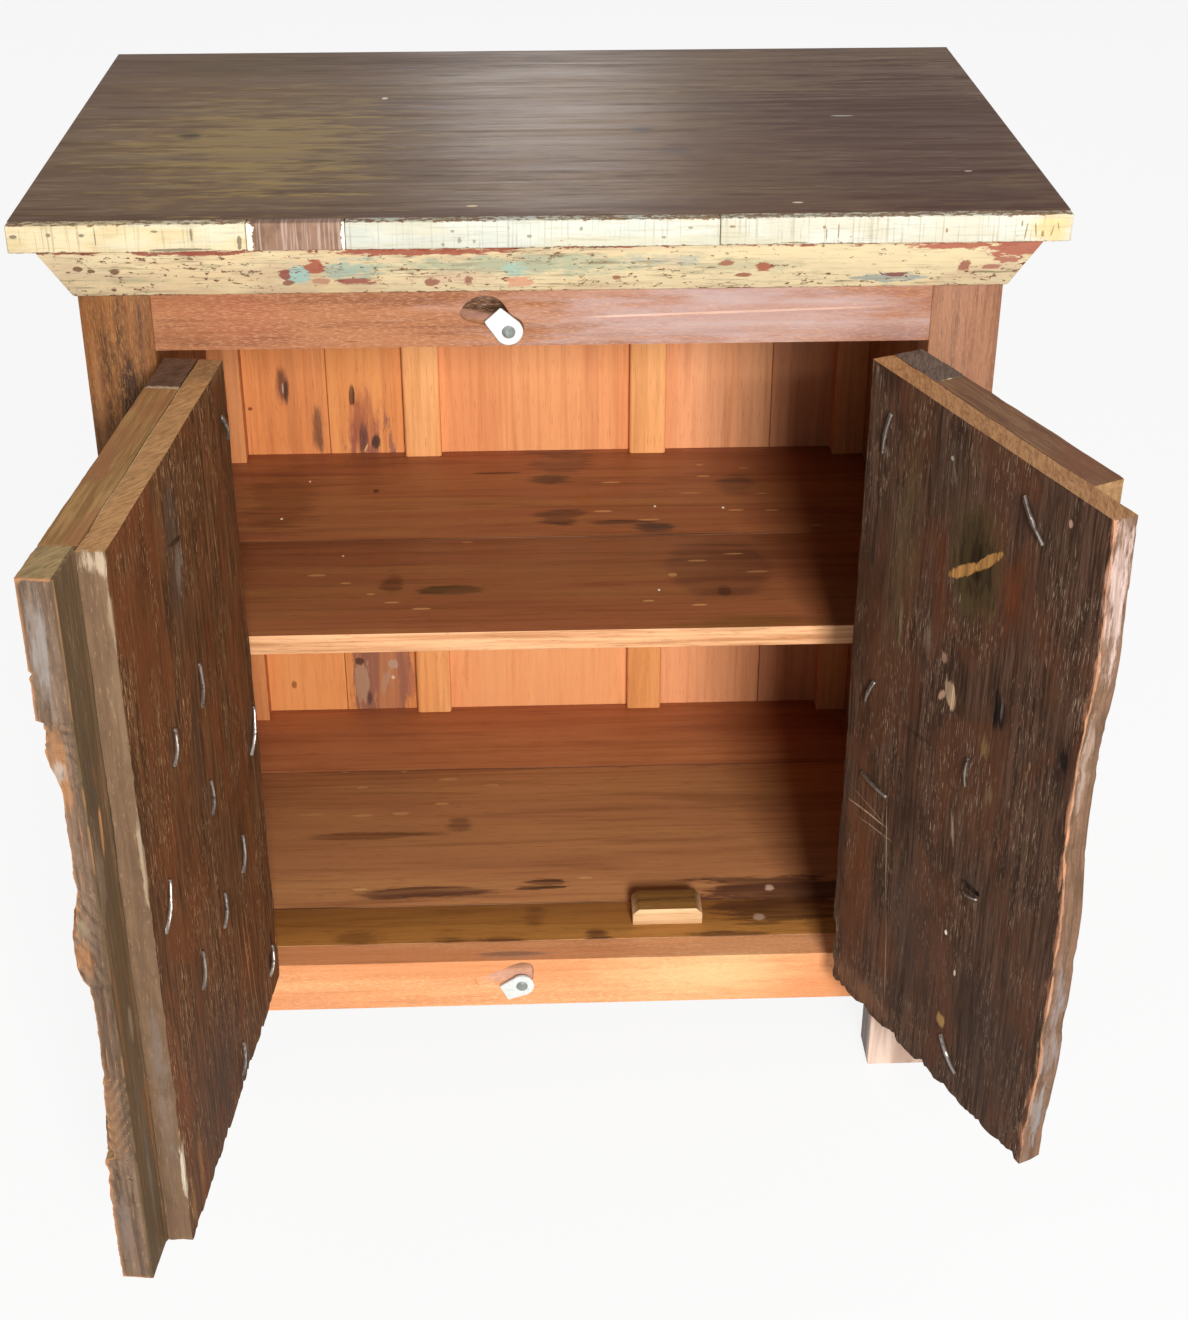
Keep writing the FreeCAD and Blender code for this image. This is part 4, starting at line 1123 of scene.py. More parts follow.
    def cornice(self) -> PaintFinish:
        """Finish of the cornice: yellow cream over red-brown, with grey-green and blue remains, and a
        red-brown strip along its top edge that is partly bare wood and partly painted shade under the
        lipping.
        """
        low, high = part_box("cornice_front")
        mark = self.slope
        soft = (0.6, 0.8, 0.8)
        hard = (0.92, 0.2, 0.7)
        under = (
            mark(-0.02, 0.918, 0.17, 0.015, "9ea48a", 0.85, 0.8, 0.8),
            mark(0.16, 0.914, 0.09, 0.010, "a8a284", *soft),
            mark(-0.167, 0.914, 0.030, 0.014, "93a898", 0.8, 0.6, 0.8),
            mark(-0.08, 0.905, 0.06, 0.010, "cba88c", *soft),
            mark(0.10, 0.920, 0.05, 0.008, "aeaa9a", *soft),
            mark(-0.209, 0.9095, 0.013, 0.011, "98b6ac", 0.95, 0.3, 0.7),
            mark(-0.025, 0.914, 0.012, 0.011, "9cb8a8", 0.8, 0.5, 0.8),
            mark(0.299, 0.899, 0.040, 0.006, "8e9690", 0.85, 0.4, 0.8),
            mark(-0.36, 0.906, 0.05, 0.004, "a8a07e", *soft))
        over = tuple(mark(x, z, w, h, tone_name, *hard) for x, z, w, h, tone_name in (
            (-0.393, 0.919, 0.0035, 0.0032, "6e4c36"), (-0.382, 0.916, 0.004, 0.0026, "6e4c36"),
            (-0.363, 0.915, 0.005, 0.0032, "6e4c36"), (-0.402, 0.915, 0.002, 0.001, "6e4c36"),
            (-0.194, 0.919, 0.008, 0.009, "9c5440"), (-0.220, 0.911, 0.005, 0.006, "8a4c3e"),
            (-0.218, 0.901, 0.005, 0.003, "8a5a48"), (-0.190, 0.903, 0.009, 0.004, "b08468"),
            (-0.160, 0.902, 0.020, 0.003, "94544a"), (-0.097, 0.900, 0.007, 0.004, "94604e"),
            (-0.064, 0.902, 0.005, 0.004, "94604e"), (-0.032, 0.902, 0.004, 0.003, "6a4438"),
            (-0.021, 0.899, 0.014, 0.006, "cc9878"), (0.188, 0.912, 0.007, 0.0045, "98543e"),
            (0.156, 0.917, 0.007, 0.003, "94604a"), (0.171, 0.904, 0.009, 0.0024, "8e5844"),
            (0.062, 0.903, 0.004, 0.003, "94604a"), (0.245, 0.904, 0.003, 0.002, "6e4c36"),
            (0.304, 0.902, 0.010, 0.003, "7e4a42"), (0.361, 0.911, 0.0055, 0.006, "945a4a"),
            (0.396, 0.917, 0.012, 0.004, "a06250"), (0.385, 0.910, 0.010, 0.003, "a06a58"),
            (0.412, 0.930, 0.040, 0.010, "a05a48"), (-0.290, 0.934, 0.050, 0.0028, "8e4a3c"),
            (-0.10, 0.933, 0.085, 0.004, "96503e"), (0.35, 0.933, 0.05, 0.004, "a05a48")))
        return PaintFinish("d2ba92", "c6ae8c", "74442f", "857a5e", low.z, high.z, chips=0.95, streaks=1.0,
                           lines=0.0, shade_and_bare_band=0.006, tint="d8c8a0", tint_share=0.6, marks=under, top=over)

    def strip(self, name: str, finish: PaintFinish | BareFinish) -> None:
        """Models one painted strip with worn edges."""
        piece = Workshop.copy_of(name, "worn_" + name)
        Workshop.smooth(Workshop.bevel(piece, self.rounding))
        dress(piece, finish, Slot.PAINTED)
        Workshop.settle(piece, "carcase", [name])


@dataclass(frozen=True)
class Wear:
    """How far old boards are worn, and how near to its rim a face counts as its arris, in metres."""

    tear: float = 0.012
    hollow: float = 0.0009
    wander: float = 0.007
    fray: float = 0.003
    corner: float = 0.010
    arris: float = 0.0012
    plank: float = 0.002
    bar: float = 0.0018
    carving: float = 0.0012


@dataclass(frozen=True)
class NailForm:
    """Sizes that all nails share, in metres, and how flat their heads are."""

    under: float = 0.0012
    over: float = 0.0016
    cell: float = 0.0023
    bevel: float = 0.7 * MM
    bend: float = 0.0026
    head: float = 0.007
    dents: float = 0.0014
    flatness: float = 0.36


@dataclass(frozen=True)
class Nail:
    """A clenched nail: middle of its bent end on the back of the door, turn, length and width."""

    across: float
    height: float
    turn: float
    length: float
    width: float = 0.0046


@dataclass
class Door:
    """One thick old door, modelled closed and then swung to where it rests.

    Its free edge tapers: the head drops and the foot rises by the given lengths. Bulges are pairs of
    a height and how far the plank's free edge stands out there.
    """

    side: Side
    angle: float
    back_width: float
    hinge_stile: float
    panel_far: float
    front_width: float
    nails: tuple[Nail, ...]
    bulges: tuple[tuple[float, float], ...] = ()
    foot: float = 0.155
    head: float = 0.835
    drop: float = 0.0
    rise: float = 0.0
    edge_x: float = 0.337
    pivot: tuple[float, float] = (0.338, -0.2655)
    front: float = -0.2575
    joint: float = -0.2275
    back: float = -0.2045
    recess: float = 0.014
    relief: float = 0.005
    field_inset: float = 0.022
    levels: tuple[float, ...] = (0.255, 0.35984, 0.40984, 0.59512, 0.64512, 0.757)
    plank_cell: tuple[float, float] = (0.004, 0.0046)
    panel_cell: tuple[float, float] = (0.003, 0.016)
    bar_cell: tuple[float, float] = (0.006, 0.0075)
    boss: float = 0.048
    smooth_angle: float = 42.0
    wear: Wear = Wear()
    form: NailForm = NailForm()

    @property
    def name(self) -> str:
        """The door's body."""
        return "left_door" if self.side is Side.LEFT else "right_door"

    @property
    def swing(self) -> Matrix:
        """Turn from the closed place to the rest place."""
        pivot = Vector((self.side.value * self.pivot[0], self.pivot[1], 0))
        turn = Matrix.Rotation(math.radians(self.side.value * self.angle), 4, "Z")
        return Matrix.Translation(pivot) @ turn @ Matrix.Translation(-pivot)

    def at(self, reach: float) -> float:
        """Place on x for a distance from the hinge edge."""
        return self.side.value * (self.edge_x - reach)

    def reach(self, place: Vector) -> float:
        """Distance of a place from the hinge edge."""
        return self.edge_x - self.side.value * place.x

    def board(self, name: str, near: float, far: float, depths: tuple[float, float],
              levels: tuple[float, float], step: float, thick_step: float = 0.0) -> Piece:
        """Slab of the door between distances from the hinge edge, on y and up."""
        low, high = sorted((self.at(near), self.at(far)))
        piece = Workshop.slab(f"{self.name}_{name}", (low, depths[0], levels[0]),
                              (high, depths[1], levels[1]), step, thick_step)
        tapers = ((-self.drop, self.levels[-1], self.head), (self.rise, self.levels[0], self.foot))
        for push, start, end in tapers:
            if push:
                Workshop.shape(piece, "Z", push, partial(self.slant, start, end))
        return piece

    def slant(self, start: float, end: float, place: Vector) -> float:
        """Share of the taper at a place between the level where it starts and the door's end."""
        return self.reach(place) / self.back_width * max(0.0, (place.z - start) / (end - start))

    def rub(self, piece: Piece, depth: float = 0.0016, seed: float = 0.0) -> Piece:
        """Wears a board's arrises and faces unevenly.

        Args:
            piece: The board.
            depth: Deepest wear.
            seed: Keeps boards different.

        Returns:
            The board.
        """
        corners = [vertex.co for vertex in piece.data.vertices]
        low = [min(corner[axis] for corner in corners) for axis in range(3)]
        high = [max(corner[axis] for corner in corners) for axis in range(3)]

        def worn(place: Vector) -> float:
            """Share of the wear, most at the arrises."""
            near = sum(min(place[n] - low[n], high[n] - place[n]) < self.wear.arris for n in range(3))
            wave = noise.fractal(Vector((place.x * 30 + seed, place.y * 30, place.z * 12)), 1.0, 2.0, 3)
            return max(0.0, (0.45 if near > 1 else 0.12) + 0.35 * wave)

        Workshop.shape(piece, "NORMAL", -depth, worn)
        return piece

    def bulge(self, height: float) -> float:
        """How far the plank's free edge stands out beyond its nominal width at a height."""
        for (low, start), (high, end) in zip(self.bulges, self.bulges[1:]):
            if low <= height <= high:
                share = (height - low) / (high - low)
                return start + (end - start) * share * share * (3 - 2 * share)
        return self.bulges[-1][1] if self.bulges and height > self.bulges[-1][0] else 0.0

    def hang(self, piece: Piece, nodes: Sequence[str], finish: object, slot: Slot) -> None:
        """Opens, smooths, dresses and settles a piece of the door."""
        piece.data.transform(self.swing)
        Workshop.smooth(piece, self.smooth_angle)
        dress(piece, finish, slot)
        Workshop.settle(piece, self.name, [f"{self.name}_{node}" for node in nodes])

    def plank(self) -> Piece:
        """The thick plank at the back of the door, ragged at its foot and both edges."""
        wear = self.wear
        outward = -self.side.value
        piece = self.board("plank", 0, self.back_width, (self.joint, self.back), (self.foot, self.head),
                           *self.plank_cell)

        def torn_foot(place: Vector) -> float:
            """Share of the tear above the foot."""
            rise = max(0.0, 1 - (place.z - self.foot) / 0.03)
            tear = noise.noise(Vector((place.x * 34, place.y * 40, 3)))
            tear += 0.7 * noise.noise(Vector((place.x * 95, place.y * 70, 8)))
            tear += 0.35 * noise.noise(Vector((place.x * 260, place.y * 90, 5)))
            return rise * max(0.0, 0.1 + tear)

        def hollow(place: Vector) -> float:
            """Share of the hollows in the back."""
            if place.y < self.back - 0.0005:
                return 0.0
            return 0.5 + 0.5 * noise.fractal(Vector((place.x * 16, 1, place.z * 4)), 1.0, 2.0, 3)

        def wavy(place: Vector) -> float:
            """Share of the wander at the hinge edge."""
            near = max(0.0, 1 - self.reach(place) / 0.014)
            low = 1.8 if place.z < self.foot + 0.07 else 0.6
            wave = noise.fractal(Vector((7, place.y * 30, place.z * 17)), 1.0, 2.0, 4)
            return near * max(0.0, low * (0.12 + wave))

        def frayed(place: Vector) -> float:
            """Share of the fraying at the free edge."""
            near = max(0.0, 1 - (self.back_width - self.reach(place)) / 0.012)
            return near * max(0.0, noise.fractal(Vector((3, place.y * 24, place.z * 26)), 1.0, 2.0, 4))

        def worn_corner(place: Vector) -> float:
            """Share of the loss at the foot's hinge corner."""
            near = max(0.0, 1 - self.reach(place) / 0.03)
            low = min(1.0, max(0.0, (self.foot + 0.045 - place.z) / 0.03))
            return near * low * (0.7 + 0.6 * noise.noise(Vector((place.y * 30, place.z * 60, 4))))

        def bulging(place: Vector) -> float:
            """Length by which the plank is wider, growing outwards."""
            return self.bulge(place.z) * max(0.0, self.reach(place) / self.back_width)

        Workshop.shape(piece, "Z", wear.tear, torn_foot)
        Workshop.shape(piece, "Y", -wear.hollow, hollow)
        Workshop.shape(piece, "X", outward * wear.wander, wavy)
        Workshop.shape(piece, "X", -outward * wear.fray, frayed)
        if self.bulges:
            Workshop.shape(piece, "X", outward * wear.corner, worn_corner)
            Workshop.shape(piece, "X", outward, bulging)
        return self.rub(piece, wear.plank, self.side.value)

    def panels(self) -> Piece:
        """Panels of the front: raised fields with a bead, and a lotus boss in the middle one."""
        made = []
        middle = (self.hinge_stile + self.panel_far) / 2
        for number in range(3):
            low, high = self.levels[2 * number], self.levels[2 * number + 1]
            piece = self.board(f"panel_{number}", self.hinge_stile, self.panel_far,
                               (self.front + self.recess, self.joint), (low, high), *self.panel_cell)
            centre = (self.at(middle), (low + high) / 2)
            wide = (self.panel_far - self.hinge_stile) / 2 - self.field_inset
            half = (wide, (high - low) / 2 - self.field_inset)

            def raised(place: Vector, number: int = number, centre: tuple[float, float] = centre,
                       half: tuple[float, float] = half) -> float:
                """Share of the relief on the panel's front."""
                if place.y > self.front + self.recess + 0.0005:
                    return 0.0
                if number == 1:
                    return lotus(place.x - centre[0], place.z - centre[1], self.boss)
                gap = min(half[0] - abs(place.x - centre[0]), half[1] - abs(place.z - centre[1]))
                bead = 0.6 * math.exp(-((gap + 0.008) / 0.0035) ** 2)
                return max(bead, min(1.0, max(0.0, gap / 0.007)))

            made.append(Workshop.shape(piece, "Y", -self.relief, raised))
        return Workshop.join(self.name + "_fields", made)

    def bar(self, name: str, near: float, far: float, levels: tuple[float, float],
            seed: float) -> Piece:
        """A worn length of the door's front frame."""
        piece = self.board(name, near, far, (self.front, self.joint), levels, *self.bar_cell)
        return self.rub(piece, self.wear.bar, seed)

    def bars(self) -> Piece:
        """The four rails of the front."""
        far = self.panel_far if self.side is Side.LEFT else self.front_width
        ends = [(self.foot, self.levels[0]), *[(self.levels[n], self.levels[n + 1]) for n in (1, 3)],
                (self.levels[5], self.head)]
        made = [self.bar(f"bar_{number}", self.hinge_stile, far, levels, number)
                for number, levels in enumerate(ends)]
        return Workshop.join(self.name + "_bars", made)

    def stile(self) -> Piece:
        """The upright at the hinge edge."""
        return self.bar("hinge_upright", 0, self.hinge_stile, (self.foot, self.head), 5)

    def free_edge(self) -> tuple[Piece, list[str]]:
        """What closes the front at the free edge, with the nodes that it stands for."""
        if self.side is Side.LEFT:
            return CarvedStile(self).build(), ["meeting_stile"]
        made = [self.bar(f"closer_{number}", self.panel_far, self.front_width, levels, 9 + number)
                for number, levels in enumerate(zip(self.levels[::2], self.levels[1::2]))]
        return Workshop.join(self.name + "_closers", made), ["closing_stiles"]

    def clenches(self) -> Piece:
        """All nails, with domed heads on the front and bent ends on the back."""
        made = []
        form = self.form
        for number, nail in enumerate(self.nails):
            turn = math.radians(nail.turn)
            half = nail.length / 2
            side = nail.width / 2
            bar = Workshop.slab(f"clench_{number}", (-side, -form.under, -half), (side, form.over, half),
                                form.cell)
            Workshop.bevel(bar, form.bevel, 1, 50)

            def arc(place: Vector, half: float = half) -> float:
                """Share of the bend."""
                share = place.z / half
                return max(0.0, (1 - share * share) * (0.75 + 0.25 * noise.noise(place * 160)))

            def taper(place: Vector, half: float = half, width: float = nail.width) -> float:
                """Share of the narrowing towards the tip."""
                return max(0.0, (half - place.z) / (2 * half)) * max(0.0, place.x / width * 1.1)

            Workshop.shape(bar, "Y", form.bend, arc)
            Workshop.shape(bar, "X", -nail.width, taper)
            centre = Vector((self.at(nail.across), self.back, nail.height))
            bar.data.transform(Matrix.Translation(centre) @ Matrix.Rotation(turn, 4, "Y"))
            made.append(bar)
            root = centre + Matrix.Rotation(turn, 3, "Y") @ Vector((0, 0, half))
            made.append(self.head_of(root))
        return Workshop.join(self.name + "_clenched_nails", made)

    def head_of(self, root: Vector) -> Piece:
        """Domed, hammered head of one nail on the front."""
        Workshop.clear()
        form = self.form
        bpy.ops.mesh.primitive_uv_sphere_add(segments=14, ring_count=8, radius=form.head)
        head = bpy.context.object
        Workshop.shape(head, "NORMAL", -form.dents,
                       lambda place: 0.5 + 0.5 * noise.noise(place * 260 + root * 90))
        seat = Matrix.Translation((root.x, self.front + self.seat(root), root.z))
        head.data.transform(seat @ Matrix.Diagonal((1, form.flatness, 1, 1)))
        return head

    def seat(self, root: Vector) -> float:
        """How far the front lies behind the door's face where a nail comes through."""
        across = self.reach(root)
        if not self.hinge_stile < across < self.panel_far:
            return 0.0
        for low, high in zip(self.levels[::2], self.levels[1::2]):
            if low < root.z < high:
                return self.recess - self.relief
        return 0.0

    def build(self) -> None:
        """Builds and dresses the whole door."""
        tones = DoorTones(self)
        self.hang(self.plank(), ["back_board"], tones.plank(), Slot.WEATHERED)
        self.hang(self.stile(), ["hinge_stile"], tones.stile(), Slot.CARVED)
        self.hang(self.bars(), ["rails"], tones.bars(), Slot.CARVED)
        self.hang(self.panels(), ["panels"], tones.fields(), Slot.CARVED)
        piece, nodes = self.free_edge()
        self.hang(piece, nodes, tones.free_edge(), Slot.CARVED)
        iron = MetalFinish("8c847c", "2e221a", 0.85, 0.4, 0.75)
        self.hang(self.clenches(), ["nails"], iron, Slot.IRON)
        for part in ("hinge_leaves", "hinge_screws"):
            dress(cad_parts[f"{self.name}_{part}"], replace(iron, colour="5c5650"), Slot.IRON)


def lotus(across: float, up: float, radius: float) -> float:
    """Height share of a round flower with two rings of petals."""
    reach = math.hypot(across, up) / radius
    if reach > 1:
        return 0.0
    angle = math.atan2(up, across)
    if reach < 0.22:
        return 0.8 + 0.2 * math.cos(reach / 0.22 * math.pi / 2)
    inner = reach < 0.55
    start, end, count = (0.22, 0.55, 8) if inner else (0.55, 1.0, 12)
    share = (reach - start) / (end - start)
    petal = abs(math.cos(angle * count / 2 + (0 if inner else 0.4)))
    swell = math.sin(math.pi * min(1.0, 0.15 + 0.85 * share))
    return max(0.1, petal ** 0.6 * swell ** 0.5 * (0.9 if inner else 0.75))


@dataclass(frozen=True)
class Bands:
    """Height shares of the carved strip at which its bands begin, from the top down."""

    cap: float = 0.886
    groove: float = 0.880
    block: float = 0.826
    ledge: float = 0.815
    volute: float = 0.745
    upper_flutes: float = 0.600
    leaf: float = 0.468
    lower_flutes: float = 0.330
    foot_leaf: float = 0.212
    fillet: float = 0.198
    beads: float = 0.160
    flank_beads: float = 0.165
    flank_foot: float = 0.125


@dataclass
class CarvedStile:
    """Carved strip that laps over the other door when both are closed."""

    door: Door
    width: float = 0.052
    depth: float = 0.012
    cell: tuple[float, float] = (0.0021, 0.0022)
    lap_gap: float = 0.0015
    relief: float = 0.0024
    bands: Bands = Bands()

    def cut(self, up: float) -> float:
        """Depth share of the front at a height share of the strip."""
        bands = self.bands
        if up > bands.cap:
            return 0.0
        if up > bands.groove:
            return 0.25
        if up > bands.block:
            return 0.0
        if up > bands.ledge:
            return 0.5
        if up > bands.volute:
            share = (bands.ledge - up) / 0.07
            return 0.12 + 0.88 * share ** 3 if share > 0.35 else 0.5 - 1.08 * share * (1 - share / 0.7)
        if up > bands.upper_flutes:
            return 1.0
        if up > bands.leaf:
            share = (up - bands.leaf) / 0.132
            return 1 - 0.95 * math.sin(math.pi * share ** 0.62) ** 0.8
        if up > bands.lower_flutes:
            return 1.0
        if up > bands.foot_leaf:
            return 1 - 0.7 * ((bands.lower_flutes - up) / 0.118) ** 0.75
        if up > bands.fillet:
            return 0.85
        if up > bands.beads:
            return 0.12 + 0.2 * abs(math.cos((up - 0.179) * 90))
        return 0.15

    def front_cut(self, place: Vector) -> float:
        """Depth share of a point of the strip, less the deeper it lies and rounded towards the flanks."""
        door = self.door
        deep = (place.y - door.front) / 0.03
        if deep > 0.98:
            return 0.0
        up = (place.z - door.foot) / (door.head - door.foot)
        share = self.cut(up)
        side = abs(door.reach(place) - (door.front_width - self.width / 2)) / (self.width / 2)
        if self.bands.fillet < up < self.bands.ledge:
            share += (1 - share) * 0.3 * side ** 4 * (1 - deep)
            share += 0.1 * math.sin((door.reach(place) - 0.348) * 700 + up * 40)
        share += 0.1 * noise.noise(place * 90) + 0.05 * noise.noise(place * 300)
        return min(1.0, max(0.0, share * (1 - deep)))

    def lapped(self, place: Vector) -> float:
        """Whether a point lies on the back of the lap, as 1 or 0."""
        door = self.door
        behind = place.y > door.joint - TOUCHING
        return float(behind and door.reach(place) > door.back_width + 10 * TOUCHING)

    def flank_cut(self, place: Vector) -> float:
        """Depth share of a point of the free flank."""
        door, bands = self.door, self.bands
        if door.front_width - door.reach(place) > 1e-4:
            return 0.0
        up = (place.z - door.foot) / (door.head - door.foot)
        deep = (place.y - door.front) / 0.03
        if deep > 0.93:
            return 0.3
        share = 0.2 + 0.22 * noise.fractal(Vector((1, place.y * 260, place.z * 50)), 1.0, 2.0, 3)
        if up > bands.block:
            share -= 0.05
        elif up > bands.volute:
            swirl = math.hypot((deep - 0.5) * 0.03, (up - 0.77) * 0.68)
            share += 0.28 * math.sin(swirl * 700)
        elif up > bands.upper_flutes:
            share += 0.4 * (0.5 + 0.5 * math.sin(place.y * 1100))
        elif up > bands.leaf:
            share += 0.25 * math.sin((place.z * 380 + place.y * 700 + 2 * noise.noise(place * 60)))
        elif up > bands.lower_flutes:
            share += 0.4 * (0.5 + 0.5 * math.sin(place.y * 1100))
        elif up > bands.foot_leaf:
            share += 0.35 * math.sin(place.z * 520 - abs(deep - 0.4) * 26)
        elif up > bands.fillet:
            share += 0.6
        elif up > bands.flank_beads:
            beads = math.hypot((deep * 3 % 1 - 0.5), (up - 0.182) * 25)
            share += 0.5 if beads > 0.45 else 0.0
        elif up > bands.flank_foot:
            share += 0.6 * (0.5 + 0.5 * math.sin(place.y * 1000 + 1)) ** 2
        return min(1.0, max(0.0, share))

    def build(self) -> Piece:
        """Models the strip closed."""
        door = self.door
        near = door.front_width - self.width
        piece = door.board("carved_stile", near, door.front_width, (door.front, door.joint),
                           (door.foot, door.head), *self.cell)
        Workshop.shape(piece, "Y", self.depth, self.front_cut)
        Workshop.shape(piece, "Y", -self.lap_gap, self.lapped)
        Workshop.shape(piece, "X", door.side.value * self.relief, self.flank_cut)
        return door.rub(piece, door.wear.carving, 3)


